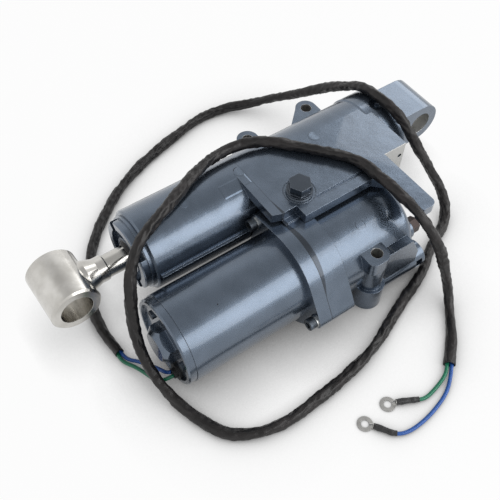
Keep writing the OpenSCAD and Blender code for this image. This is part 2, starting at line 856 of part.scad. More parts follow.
module release_valve() color(dark_steel) difference() {
    seat_x = valve_boss_start + valve_mouth_len;
    y = valve_axis[0];
    z = valve_axis[1];
    r = valve_d / 2 - run;
    x_turn([
        [0, seat_x - valve_head_len], [valve_head_r, seat_x - valve_head_len], [valve_head_r, seat_x],
        [r, seat_x], [r, seat_x + valve_shank_len],
        [valve_tip_r, seat_x + valve_shank_len + valve_tip_len], [0, seat_x + valve_shank_len + valve_tip_len]
    ], y, z);
    box([seat_x - valve_head_len - over, y - valve_head_r - over, z - valve_slot_w / 2],
        [seat_x - valve_head_len + valve_slot_depth, y + valve_head_r + over, z + valve_slot_w / 2]);
}

module release_valve_clip() color(steel) difference() {
    x0 = valve_boss_start + clip_start;
    outer = valve_mouth_r + clip_outer;
    x_ring(x0, x0 + clip_t, outer, outer - clip_w, valve_axis[0], valve_axis[1]);
    box([x0 - over, valve_axis[0] - clip_gap / 2, valve_axis[1]],
        [x0 + clip_t + over, valve_axis[0] + clip_gap / 2, valve_axis[1] + outer + over]);
}

// Places along the ram: free piston, piston, washer and rod shoulder
free_start = bore_start + free_piston_gap;
piston_start = free_start + free_piston_len + piston_gap;
piston_end = piston_start + piston_len;
piston_mid = piston_start + piston_len / 2;
shoulder_x = piston_end + plate_washer_t;
neck_start = eye_span - rod_eye_d / 2 - neck_len;
socket_end = neck_start + socket_len;

module ram_rod() color(steel)
    x_turn([
        [0, piston_start - nut_len], [thread_r - fit, piston_start - nut_len], [thread_r - fit, shoulder_x],
        [rod_d / 2, shoulder_x], [rod_d / 2, socket_end], [0, socket_end]
    ]);

module rod_eye() color(steel) difference() {
    r = rod_eye_d / 2;
    h = rod_eye_w / 2;
    c = eye_chamfer;
    bore = rod_d / 2 + fit;
    union() {
        translate([eye_span, 0, 0]) rotate([90, 0, 0]) rotate_extrude()
            polygon([[0, -h], [r - c, -h], [r, c - h], [r, h - c], [r - c, h], [0, h]]);
        x_turn([
            [bore, neck_start], [bore + neck_mouth, neck_start + neck_mouth],
            [bore + neck_mouth, neck_start + neck_straight],
            [neck_end_r, neck_start + neck_len + neck_mouth], [neck_end_r, eye_span - rod_eye_bore_d / 2],
            [0, eye_span - rod_eye_bore_d / 2], [0, socket_end], [bore, socket_end]
        ]);
    }
    y_rod(eye_span, -rod_eye_w, rod_eye_w, 0, rod_eye_bore_d / 2);
    x_rod(neck_start, socket_end, bore);
}

module piston() color(raw_alu) difference() {
    r = bore_d / 2 - piston_play;
    groove_start = piston_mid - ring_w / 2;
    groove_end = piston_mid + ring_w / 2;
    x_turn([
        [thread_r, piston_start], [r, piston_start], [r, groove_start], [r - ring_depth, groove_start],
        [r - ring_depth, groove_end], [r, groove_end], [r, piston_end], [thread_r, piston_end]
    ]);
    for (a = [0 : 360 / shock_count : 359]) rotate([a, 0, 0]) {
        x_rod(piston_start - over, piston_end + over, shock_hole_r, shock_r, 0);
        x_rod(piston_start + shock_seat, piston_end + over, shock_pocket_r, shock_r, 0);
    }
}

module piston_ring() color(rubber) {
    half = ring_w / 2 - seat;
    x_ring(piston_mid - half, piston_mid + half, bore_d / 2 - run,
        bore_d / 2 - piston_play - ring_depth + seat);
}

module piston_nut() color(dark_steel) difference() {
    x_prism(piston_start - nut_len, piston_start, nut_flats_r, 0, 0, 6);
    x_rod(piston_start - nut_len - over, piston_start + over, thread_r);
}

module shock_valve_plate() color(dark_steel)
    x_ring(piston_end, piston_end + plate_washer_t, plate_washer_r, thread_r);

module shock_valve_balls() color(steel) {
    lift = sqrt(shock_ball_r ^ 2 - shock_hole_r ^ 2);
    for (a = [0 : 360 / shock_count : 359]) rotate([a, 0, 0])
        translate([piston_start + shock_seat + lift + fit, shock_r, 0]) sphere(shock_ball_r, $fn = 32);
}

module free_piston() color(raw_alu) {
    r = bore_d / 2 - run;
    end = free_start + free_piston_len;
    mid = free_start + free_piston_len / 2;
    x_turn([
        [0, free_start], [r, free_start], [r, mid - o_groove / 2], [r - o_depth, mid - o_groove / 2],
        [r - o_depth, mid + o_groove / 2], [r, mid + o_groove / 2], [r, end], [cup_r, end],
        [cup_r, free_start + cup_wall], [0, free_start + cup_wall]
    ]);
}

module free_piston_ring() color(rubber)
    x_torus(free_start + free_piston_len / 2, bore_d / 2 - run - o_depth / 2, o_depth / 2 - fit);

module motor_flange() color(paint) difference() {
    union() {
        lobed(block_face, flange_end);
        x_rod(block_face - flange_spigot, block_face + over, chamber_d / 2 - seat, motor_y, motor_z);
        x_rod(flange_end - over, flange_end + yoke_spigot, yoke_d / 2 - yoke_wall - seat, motor_y, motor_z);
        x_rod(flange_end - over, flange_end + bearing_hub_len, bearing_hub_r, motor_y, motor_z);
    }
    x_rod(block_face - over, flange_end + over, barrel_d / 2 + barrel_gap);
    spigot_x = block_face - flange_spigot;
    hub_x = flange_end + bearing_hub_len;
    x_rod(spigot_x - over, hub_x + over, shaft_r + shaft_gap, motor_y, motor_z);
    x_rod(spigot_x - over, spigot_x + seal_pocket_len, seal_pocket_r, motor_y, motor_z);
    x_rod(hub_x - bearing_len, hub_x + over, bearing_r, motor_y, motor_z);
    x_ring(block_face - flange_spigot / 2 - o_inset, block_face - flange_spigot / 2 + o_inset,
        chamber_d / 2 + over, chamber_d / 2 - seat - o_depth * flange_ring_share, motor_y, motor_z);
    for (a = lobe_angles) {
        c = around(screw_circle_d / 2, a);
        x_rod(block_face - over, flange_end + over, screw_d / 2 + clear_hole, c[0], c[1]);
    }
}

module flange_o_ring() color(rubber) {
    depth = o_depth * flange_ring_share;
    big = chamber_d / 2 - seat - depth / 2 + fit / 2;
    x_torus(block_face - flange_spigot / 2, big, depth / 2 - fit / 2, motor_y, motor_z);
}

module flange_screws() color(dark_steel) for (a = lobe_angles) {
    c = around(screw_circle_d / 2, a);
    head = flange_end + washer_t;
    top = head + screw_head_h;
    difference() {
        union() {
            x_rod(block_face - screw_reach, head + over, screw_d / 2, c[0], c[1]);
            x_rod(head, top, screw_head_r, c[0], c[1]);
        }
        x_prism(top - screw_socket_h, top + over, screw_socket_r, c[0], c[1], 6);
    }
}

module flange_washers() color(steel) for (a = lobe_angles) {
    c = around(screw_circle_d / 2, a);
    x_ring(flange_end, flange_end + washer_t, washer_r, screw_d / 2 + clear_hole, c[0], c[1]);
}

module shaft_seal() color(rubber)
    x_ring(block_face - flange_spigot + fit, block_face - flange_spigot + seal_pocket_len - fit,
        seal_pocket_r - fit, shaft_r + seal_gap, motor_y, motor_z);

module motor_yoke() color(paint)
    x_ring(flange_end, yoke_end, yoke_d / 2, yoke_d / 2 - yoke_wall, motor_y, motor_z);

// Two curved magnets inside the yoke, above and below the armature
module magnets() color(dark_steel) {
    outer = yoke_d / 2 - yoke_wall - seat;
    x0 = flange_end + magnet_start;
    for (turn = [0, 180]) translate([0, motor_y, motor_z]) rotate([turn, 0, 0]) intersection() {
        x_ring(x0, x0 + magnet_len, outer, outer - magnet_t);
        translate([x0 - over, 0, 0]) rotate([90, 0, 90]) linear_extrude(magnet_len + 2 * over)
            polygon([[0, 0], yoke_d * [sin(magnet_angle), cos(magnet_angle)], [0, yoke_d],
                yoke_d * [-sin(magnet_angle), cos(magnet_angle)]]);
    }
}

module motor_end_cap() color(paint) difference() {
    r = cap_d / 2;
    floor_x = cap_end - cap_rim_h;
    union() {
        x_turn([
            [0, yoke_end], [yoke_d / 2 - yoke_wall - seat, yoke_end - cap_spigot],
            [yoke_d / 2 - yoke_wall - seat, yoke_end], [r, yoke_end], [r, cap_end - cap_chamfer],
            [r - cap_chamfer, cap_end], [r - cap_rim_w, cap_end], [r - cap_rim_w - over, floor_x],
            [0, floor_x]
        ], motor_y, motor_z);
        x_rod(yoke_end - cap_spigot, yoke_end + over, yoke_d / 2 - yoke_wall - seat, motor_y, motor_z);
        intersection() {
            x_prism(floor_x - over, cap_end + cap_bump, bump_r, motor_y, motor_z, 6);
            x_turn([[0, floor_x - over], [bump_r, floor_x - over], [bump_r, cap_end + cap_bump - bump_bevel],
                [bump_r - bump_bevel, cap_end + cap_bump], [0, cap_end + cap_bump]], motor_y, motor_z);
        }
    }
    x_rod(yoke_end - cap_spigot - over, floor_x - cap_floor, cap_hollow_r, motor_y, motor_z);
    x_rod(floor_x - cap_floor - over, cap_end + cap_bump - bush_back - over, bush_r, motor_y, motor_z);
    for (a = lobe_angles) {
        c = around(cap_screw_circle, a);
        x_rod(yoke_end - over, cap_end + over, cap_screw_r + fit, c[0], c[1]);
    }
    x_rod(yoke_end - cap_spigot - over, cap_end + over, grommet_r, grommet_place[0], grommet_place[1]);
    x_rod(floor_x, cap_end + over, grommet_head_r + seat, grommet_place[0], grommet_place[1]);
}

module cap_screws() color(dark_steel) for (a = lobe_angles) {
    c = around(cap_screw_circle, a);
    floor_x = cap_end - cap_rim_h;
    difference() {
        union() {
            x_rod(floor_x - cap_floor - holder_back - holder_t, floor_x + over, cap_screw_r, c[0], c[1]);
            x_rod(floor_x, floor_x + cap_head_h, cap_head_r, c[0], c[1]);
        }
        box([floor_x + cap_head_h / 2, c[0] - cap_head_r - over, c[1] - adjuster_slot / 2],
            [floor_x + cap_head_h + over, c[0] + cap_head_r + over, c[1] + adjuster_slot / 2]);
    }
}

module end_bush() color(brass) {
    end = cap_end + cap_bump - bush_back - over;
    x_ring(end - bush_len, end, bush_r - fit, shaft_r + run, motor_y, motor_z);
}

module drive_end_bearing() color(steel) {
    end = flange_end + bearing_hub_len;
    x_ring(end - bearing_len, end - fit, bearing_r - fit, shaft_r + run, motor_y, motor_z);
}

// Ring that carries the two brush boxes, with a boss for each cap screw
module brush_holder() color([0.25, 0.2, 0.15]) difference() {
    x1 = cap_end - cap_rim_h - cap_floor;
    x0 = x1 - holder_back - holder_t;
    wall = brush_box_wall;
    half = brush_w / 2 + brush_gap;
    union() {
        x_ring(x0, x0 + holder_t, cap_hollow_r - seat, commutator_r + shaft_gap, motor_y, motor_z);
        for (a = lobe_angles) {
            c = around(cap_screw_circle, a);
            x_rod(x0, x1, holder_boss_r, c[0], c[1]);
        }
        for (s = [-1, 1]) translate([0, motor_y, motor_z]) rotate([s * 90 - 90, 0, 0])
            box([x0 - brush_box_depth, commutator_r + shaft_gap, -half - wall],
                [x0 + holder_t / 2, brush_box_reach, half + wall]);
    }
    for (s = [-1, 1]) translate([0, motor_y, motor_z]) rotate([s * 90 - 90, 0, 0])
        box([x0 - brush_box_depth + wall, 0, -half], [x0 - wall, brush_box_reach - wall, half]);
    for (a = lobe_angles) {
        c = around(cap_screw_circle, a);
        x_rod(x0 - over, x1 + over, cap_screw_r + fit, c[0], c[1]);
    }
}

module brushes() color([0.2, 0.2, 0.22]) {
    x0 = cap_end - cap_rim_h - cap_floor - holder_back - holder_t;
    for (s = [-1, 1]) translate([0, motor_y, motor_z]) rotate([s * 90 - 90, 0, 0]) difference() {
        box([x0 - brush_box_depth + brush_box_wall + brush_gap, commutator_r / 2, -brush_w / 2],
            [x0 - brush_box_wall - brush_gap, commutator_r + brush_len, brush_w / 2]);
        x_rod(0, cap_end, commutator_r + brush_gap);
    }
}

module brush_springs() color(steel) {
    x0 = cap_end - cap_rim_h - cap_floor - holder_back - holder_t;
    mid = x0 - brush_box_depth / 2;
    for (s = [-1, 1]) translate([0, motor_y, motor_z]) rotate([s * 90 - 90, 0, 0]) difference() {
        y_rod(mid, commutator_r + brush_len, brush_box_reach - brush_box_wall, 0, brush_spring_r);
        y_rod(mid, commutator_r, brush_box_reach, 0, brush_spring_r / 2);
    }
}

module wire_grommet() color(rubber) {
    floor_x = cap_end - cap_rim_h;
    y = grommet_place[0];
    z = grommet_place[1];
    x_rod(floor_x - cap_floor, floor_x + over, grommet_r - fit, y, z);
    x_rod(floor_x, floor_x + grommet_head, grommet_head_r, y, z);
    x_rod(floor_x, floor_x + grommet_nose, grommet_nose_r, y, z);
}

// Places along the motor shaft
tongue_end = block_face - coupling_back;
shaft_end = cap_end + cap_bump - bush_back - 2 * over;
core_x = flange_end + core_start;
commutator_x = core_x + core_len + tail_winding_len + commutator_gap;

// Round shaft end cut to a flat tongue
module tongue(x0, x1) intersection() {
    x_rod(x0, x1, shaft_r, motor_y, motor_z);
    box([x0 - over, motor_y - shaft_r, motor_z - tongue_t / 2],
        [x1 + over, motor_y + shaft_r, motor_z + tongue_t / 2]);
}

module armature_shaft() color(steel) {
    x_rod(tongue_end, shaft_end, shaft_r, motor_y, motor_z);
    tongue(tongue_end - tongue_len + coupling_play, tongue_end + over);
}

module armature_core() color(dark_steel) difference() {
    outer = yoke_d / 2 - yoke_wall - seat - magnet_t - air_gap;
    x_ring(core_x, core_x + core_len, outer, shaft_r + fit, motor_y, motor_z);
    for (i = [0 : core_slots - 1]) translate([0, motor_y, motor_z]) rotate([360 * i / core_slots, 0, 0])
        box([core_x - over, outer - slot_depth, -slot_gap / 2],
            [core_x + core_len + over, outer + over, slot_gap / 2]);
}

// Copper end turns at both ends of the core, joined by the bars in its slots
module armature_windings() color(copper) difference() {
    outer = yoke_d / 2 - yoke_wall - seat - magnet_t - air_gap;
    union() {
        x_rod(core_x - winding_len + over, core_x - fit, winding_r, motor_y, motor_z);
        x_rod(core_x + core_len + fit, core_x + core_len + tail_winding_len, winding_r, motor_y, motor_z);
        for (i = [0 : core_slots - 1]) translate([0, motor_y, motor_z]) rotate([360 * i / core_slots, 0, 0])
            box([core_x - over, outer - slot_depth + wire_gap, wire_gap - slot_gap / 2],
                [core_x + core_len + over, outer - wire_gap, slot_gap / 2 - wire_gap]);
    }
    x_rod(core_x - winding_len - over, commutator_x, winding_hole_r, motor_y, motor_z);
}

module commutator() color(copper) difference() {
    x_ring(commutator_x, commutator_x + commutator_len, commutator_r, shaft_r + fit, motor_y, motor_z);
    for (i = [0 : core_slots - 1]) translate([0, motor_y, motor_z]) rotate([360 * i / core_slots, 0, 0])
        box([commutator_x - over, commutator_r - over, -commutator_groove / 2],
            [commutator_x + commutator_len + over, commutator_r + over, commutator_groove / 2]);
}

module drive_coupling() color(steel) difference() {
    x0 = tongue_end - coupling_len;
    x_rod(x0, tongue_end - coupling_play, coupling_r, motor_y, motor_z);
    box([x0 - over, motor_y - shaft_r - coupling_play, motor_z - tongue_t / 2 - coupling_play],
        [tongue_end + over, motor_y + shaft_r + coupling_play, motor_z + tongue_t / 2 + coupling_play]);
}

// Gear sizes
pitch_r = gear_module * gear_teeth / 2;
tip_r = pitch_r + addendum_share * gear_module;
root_r = pitch_r - dedendum_share * gear_module;
base_r = pitch_r * cos(pressure_angle);
driven_z = motor_z + 2 * pitch_r;
gear_x = ledge_x + pump_flange_t - pocket_len;

// Angle that an involute from the base circle has turned through at radius r, in degrees
function involute(r) = let (a = acos(base_r / r)) tan(a) * 180 / PI - a;
// Half the angle that a tooth spans at radius r
function half_tooth(r) =
    90 / gear_teeth - tooth_play / (2 * pitch_r) * 180 / PI + involute(pitch_r) - involute(r);
function flank_radius(i) = base_r + (tip_r - base_r) * i / flank_steps;
function polar(r, a) = r * [cos(a), sin(a)];
// Point i of a flank, s = -1 or 1 for the side of the tooth whose middle is at angle a
function flank(i, a, s) = let (r = flank_radius(i)) polar(r, a + s * half_tooth(r));

// Pump gear with involute teeth, one tooth pointing up, and its shaft through both journals
module pump_gear(z, x_end) {
    pitch = 360 / gear_teeth;
    base_half = half_tooth(base_r);
    x0 = gear_x + (pocket_len - gear_w) / 2;
    translate([x0, motor_y, z]) rotate([90, 0, 90]) linear_extrude(gear_w)
        polygon([for (t = [0 : gear_teeth - 1]) each concat(
            [polar(root_r, 90 + t * pitch - base_half)],
            [for (i = [0 : flank_steps]) flank(i, 90 + t * pitch, -1)],
            [for (i = [flank_steps : -1 : 0]) flank(i, 90 + t * pitch, 1)],
            [polar(root_r, 90 + t * pitch + base_half)]
        )]);
    x_rod(gear_x - journal_len + seat, x_end, shaft_r, motor_y, z);
}

module drive_gear() color(steel) {
    x1 = tongue_end - coupling_len - coupling_play;
    pump_gear(motor_z, x1);
    tongue(x1 - over, x1 + tongue_len - 2 * coupling_play);
}

module driven_gear() color(steel) pump_gear(driven_z, ledge_x + pump_flange_t + cover_t - over);

// Middle of the gear pair, and the places of the valves in the pump body
gear_mid_z = (motor_z + driven_z) / 2;
nose_x = ledge_x - nose_len;
relief_place = [nose_x + relief_x, motor_y + relief_y];
relief_bottom = motor_z + relief_floor;
shuttle_z = motor_z - shuttle_drop;

module pump_body() color(raw_alu) difference() {
    face = ledge_x + pump_flange_t;
    union() {
        x_rod(nose_x, ledge_x + over, cavity_d / 2 - nose_gap, motor_y, motor_z);
        x_rod(ledge_x, face, chamber_d / 2 - clear_hole, motor_y, motor_z);
    }
    for (z = [motor_z, driven_z]) {
        x_rod(gear_x, face + over, tip_r + seat, motor_y, z);
        x_rod(gear_x - journal_len, gear_x + over, shaft_r + run, motor_y, z);
    }
    x_rod(nose_x - over, gear_x + over, inlet_r, motor_y + inlet_y, gear_mid_z);
    for (a = pump_screw_angles) {
        c = around(pump_screw_circle, a);
        x_rod(ledge_x - over, face + over, pump_screw_r + fit, c[0], c[1]);
    }
    for (a = cover_screw_angles) {
        c = [motor_y + cover_screw_circle * cos(a), gear_mid_z + cover_screw_circle * sin(a)];
        x_rod(face - cover_screw_len, face + over, pump_screw_r + fit, c[0], c[1]);
    }
    for (z = [gallery_up_z, gallery_down_z])
        x_rod(ledge_x - over, ledge_x + pump_flange_t / 2, gallery_r, gallery_y, z);
    // Upright relief valve
    z_rod(relief_place[0], relief_place[1], relief_bottom, motor_z + relief_top + over, relief_r);
    z_rod(relief_place[0], relief_place[1], relief_bottom - relief_seat_len, relief_bottom + over,
        relief_seat_r);
    y_rod(gear_x + over, motor_y + pitch_r / 2, relief_place[1], relief_bottom - relief_seat_len / 2,
        relief_feed_r);
    // Shuttle bore across the nose
    y_rod(nose_x + shuttle_x, motor_y - cavity_d / 2, motor_y + cavity_d / 2, shuttle_z, shuttle_r);
}

module pump_cover() color(raw_alu) difference() {
    x0 = ledge_x + pump_flange_t;
    x_rod(x0, x0 + cover_t, cover_r, motor_y, gear_mid_z);
    for (z = [motor_z, driven_z]) x_rod(x0 - over, x0 + cover_t + over, shaft_r + run, motor_y, z);
    for (a = cover_screw_angles) {
        c = [motor_y + cover_screw_circle * cos(a), gear_mid_z + cover_screw_circle * sin(a)];
        x_rod(x0 - over, x0 + cover_t + over, pump_screw_r + fit, c[0], c[1]);
    }
}

// Round-headed screw of the pump from x0, with its head on the plane x1
module pump_screw(x0, x1, c) {
    x_rod(x0, x1 + over, pump_screw_r, c[0], c[1]);
    x_rod(x1, x1 + pump_head_h, pump_head_r, c[0], c[1]);
}

module pump_screws() color(dark_steel) {
    face = ledge_x + pump_flange_t;
    for (a = pump_screw_angles) pump_screw(ledge_x - pump_screw_len, face, around(pump_screw_circle, a));
    for (a = cover_screw_angles) pump_screw(face - cover_screw_len, face + cover_t,
        [motor_y + cover_screw_circle * cos(a), gear_mid_z + cover_screw_circle * sin(a)]);
}

module suction_strainer() color(brass) difference() {
    x0 = nose_x - strainer_len;
    y = motor_y + strainer_y;
    x_rod(x0, nose_x, strainer_r, y, gear_mid_z);
    x_rod(x0 + strainer_wall, nose_x + over, strainer_r - strainer_wall, y, gear_mid_z);
}

module relief_poppet() color(steel) {
    x = relief_place[0];
    y = relief_place[1];
    z_rod(x, y, relief_bottom + fit, relief_bottom + poppet_len, relief_r - run);
    translate([x, y, relief_bottom - poppet_tip])
        cylinder(h = poppet_tip + seat, r1 = relief_seat_r / 2, r2 = relief_seat_r - run);
}

module relief_spring() color(steel) difference() {
    z0 = relief_bottom + poppet_len;
    z1 = z0 + relief_spring_len;
    r = relief_r - 2 * seat;
    z_rod(relief_place[0], relief_place[1], z0, z1, r);
    z_rod(relief_place[0], relief_place[1], z0 - over, z1 + over, r - relief_spring_wall);
}

module relief_adjuster() color(steel) difference() {
    z0 = relief_bottom + poppet_len + relief_spring_len;
    z_rod(relief_place[0], relief_place[1], z0, z0 + adjuster_len, relief_r - fit);
    translate([relief_place[0], relief_place[1], z0 + adjuster_len])
        cube([2 * relief_r, adjuster_slot, 2 * adjuster_slot], center = true);
}

// Solid turned about the shuttle's axis from [radius, distance] points
module shuttle_turn(points)
    translate([nose_x + shuttle_x, motor_y, shuttle_z]) rotate([-90, 0, 0]) rotate_extrude() polygon(points);

module shuttle_spool() color(steel) {
    r = shuttle_r - run;
    h = spool_half;
    w = spool_waist_half;
    shuttle_turn([
        [0, -spool_reach], [spool_pin_r, -spool_reach], [spool_pin_r, -h], [r, -h], [r, -w],
        [spool_waist_r, -w], [spool_waist_r, w], [r, w], [r, h], [spool_pin_r, h],
        [spool_pin_r, spool_reach], [0, spool_reach]
    ]);
}

module check_seats() color(brass) for (a = [check_seat_start, -check_seat_start - check_seat_len]) {
    b = a + check_seat_len;
    shuttle_turn([[check_seat_r, a], [shuttle_r - fit, a], [shuttle_r - fit, b], [check_seat_r, b]]);
}

// Distance of a check ball from the middle of the shuttle, resting on its seat
ball_out = check_seat_start + check_seat_len + sqrt(check_ball_r ^ 2 - check_seat_r ^ 2) + fit;

module up_check_ball() color(steel)
    translate([nose_x + shuttle_x, motor_y + ball_out, shuttle_z]) sphere(check_ball_r, $fn = 32);

module down_check_ball() color(steel)
    translate([nose_x + shuttle_x, motor_y - ball_out, shuttle_z]) sphere(check_ball_r, $fn = 32);

module shuttle_plugs() color(steel) for (s = [-1, 1]) {
    near = s * shuttle_plug_start;
    far = near + s * shuttle_plug_len;
    y_rod(nose_x + shuttle_x, motor_y + min(near, far), motor_y + max(near, far), shuttle_z, shuttle_r - fit);
}

// Cord geometry: directions along a route and a ring of points square to it
function unit(v) = v / norm(v);
function heading(route, i) =
    i == 0 ? unit(route[1] - route[0]) :
    i == len(route) - 1 ? unit(route[i] - route[i - 1]) :
    unit(unit(route[i + 1] - route[i]) + unit(route[i] - route[i - 1]));
function side_of(t) = unit(cross([0, 0, 1], t));
function ring_at(p, t, r, n) = let (u = side_of(t), v = cross(t, u))
    [for (k = [0 : n - 1]) p + r * (u * cos(360 * k / n) + v * sin(360 * k / n))];

// Round cord swept along a route, with a ring of n points at each of its places
module cord(route, r, n) {
    last = len(route) - 1;
    points = [for (i = [0 : last]) each ring_at(route[i], heading(route, i), r, n)];
    sides = [for (i = [0 : last - 1], k = [0 : n - 1]) let (a = i * n + k, b = i * n + (k + 1) % n)
        each [[a, a + n, b], [b, a + n, b + n]]];
    start_face = [for (k = [0 : n - 1]) k];
    end_face = [for (k = [n - 1 : -1 : 0]) last * n + k];
    polyhedron(points, concat([start_face], sides, [end_face]));
}

module harness_sleeve() color(rubber) cord(sleeve_route, sleeve_d / 2, 10);

// Start of a lead on an end face of the sleeve, s to either side of its middle
function lead_start(i, s) = let (t = heading(sleeve_route, i))
    sleeve_route[i] + side_of(t) * s * lead_gap - [0, 0, lead_drop];
function lead_second(i, s, out) = lead_start(i, s) + out * lead_run * heading(sleeve_route, i);
last_stop = len(sleeve_route) - 1;

// End of a lead in the grommet, and its place before the last straight run
nose_face = cap_end - cap_rim_h + grommet_nose;
function grommet_end(s) = [nose_face, grommet_place[0] + s * lead_pair, grommet_place[1]];
function grommet_run(s) = grommet_end(s) + [lead_tail, 0, 0];

// End of a lead at its heat shrink, and its place before the last straight run
terminal_z = foot_z + shrink_r;
function shrink_end(ring, dir) =
    [ring[0], ring[1], terminal_z] - (shrink_start + shrink_len) * [cos(dir), sin(dir), 0];
function shrink_run(ring, dir) = shrink_end(ring, dir) - lead_tail * [cos(dir), sin(dir), 0];

module green_leads() color([0.2, 0.55, 0.42]) {
    cord(concat([lead_start(0, 1), lead_second(0, 1, -1)], green_motor_points,
        [grommet_run(1), grommet_end(1)]), lead_d / 2, 8);
    cord(concat([lead_start(last_stop, -1), lead_second(last_stop, -1, 1)], green_free_points,
        [shrink_run(green_ring, green_dir), shrink_end(green_ring, green_dir)]), lead_d / 2, 8);
}

module blue_leads() color([0.2, 0.38, 0.7]) {
    cord(concat([lead_start(0, -1), lead_second(0, -1, -1)], blue_motor_points,
        [grommet_run(-1), grommet_end(-1)]), lead_d / 2, 8);
    cord(concat([lead_start(last_stop, 1), lead_second(last_stop, 1, 1)], blue_free_points,
        [shrink_run(blue_ring, blue_dir), shrink_end(blue_ring, blue_dir)]), lead_d / 2, 8);
}

// What lies on a free lead, drawn with the terminal's hole at the origin and pointing along X
module at_terminal(ring, dir) translate([ring[0], ring[1], 0]) rotate([0, 0, dir]) children();

module heat_shrinks() color(rubber) {
    for (e = [[green_ring, green_dir], [blue_ring, blue_dir]]) at_terminal(e[0], e[1])
        x_rod(-shrink_start - shrink_len, -shrink_start, shrink_r, 0, terminal_z);
}

module ring_terminals() color(steel) {
    for (e = [[green_ring, green_dir], [blue_ring, blue_dir]]) at_terminal(e[0], e[1]) difference() {
        union() {
            z_rod(0, 0, foot_z, foot_z + ring_t, ring_d / 2);
            box([-shrink_start, -tongue_w / 2, foot_z], [0, tongue_w / 2, foot_z + ring_t]);
            x_rod(-shrink_start, -crimp_start, crimp_r, 0, terminal_z);
        }
        z_rod(0, 0, foot_z - over, foot_z + ring_t + over, ring_hole_d / 2);
    }
}

cylinder_housing();
gland_end_screw();
dust_wiper();
rod_seal();
gland_o_ring();
end_port_plug();
gallery_ball();
filler_plug();
filler_seal();
tank_plug();
release_valve();
release_valve_clip();
ram_rod();
rod_eye();
piston();
piston_ring();
piston_nut();
shock_valve_plate();
shock_valve_balls();
free_piston();
free_piston_ring();
motor_flange();
flange_o_ring();
flange_screws();
flange_washers();
shaft_seal();
motor_yoke();
magnets();
motor_end_cap();
cap_screws();
end_bush();
drive_end_bearing();
brush_holder();
brushes();
brush_springs();
wire_grommet();
armature_shaft();
armature_core();
armature_windings();
commutator();
drive_coupling();
pump_body();
pump_cover();
pump_screws();
drive_gear();
driven_gear();
suction_strainer();
relief_poppet();
relief_spring();
relief_adjuster();
shuttle_spool();
check_seats();
up_check_ball();
down_check_ball();
shuttle_plugs();
harness_sleeve();
green_leads();
blue_leads();
heat_shrinks();
ring_terminals();
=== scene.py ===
import math

import bpy
import bmesh
from mathutils import Matrix, Vector, noise


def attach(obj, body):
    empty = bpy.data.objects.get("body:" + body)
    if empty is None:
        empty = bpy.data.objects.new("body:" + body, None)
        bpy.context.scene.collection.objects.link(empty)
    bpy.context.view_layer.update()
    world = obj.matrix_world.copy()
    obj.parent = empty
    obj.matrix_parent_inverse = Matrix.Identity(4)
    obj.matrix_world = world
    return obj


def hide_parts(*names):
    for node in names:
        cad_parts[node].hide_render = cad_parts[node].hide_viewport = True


# The solids of the tilt unit come in as they were made; from here on they are only dressed.
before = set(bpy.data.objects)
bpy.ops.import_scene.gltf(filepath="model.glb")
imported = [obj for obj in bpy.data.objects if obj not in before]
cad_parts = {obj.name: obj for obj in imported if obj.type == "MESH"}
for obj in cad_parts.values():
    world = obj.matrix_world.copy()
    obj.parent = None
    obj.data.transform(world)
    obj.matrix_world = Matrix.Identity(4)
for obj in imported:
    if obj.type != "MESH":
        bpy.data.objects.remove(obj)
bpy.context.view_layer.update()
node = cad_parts
MM = 0.001
SCENE = bpy.context.scene

# Camera
# Stands above the motor's end of the unit and looks down along it, about 54 degrees steep.
camera = bpy.data.objects.new("studio_camera", bpy.data.cameras.new("studio_camera"))
SCENE.collection.objects.link(camera)
# Its turn and, in the last column, its place in metres
camera.matrix_world = Matrix((
    (-0.8160, -0.4540, 0.3578, 0.43231),
    (0.5775, -0.6686, 0.4685, 0.33587),
    (0.0265, 0.5889, 0.8077, 0.49093),
    (0, 0, 0, 1),
))
camera.data.lens = 54
camera.data.sensor_width = 36
camera.data.clip_start = 0.05
SCENE.camera = camera


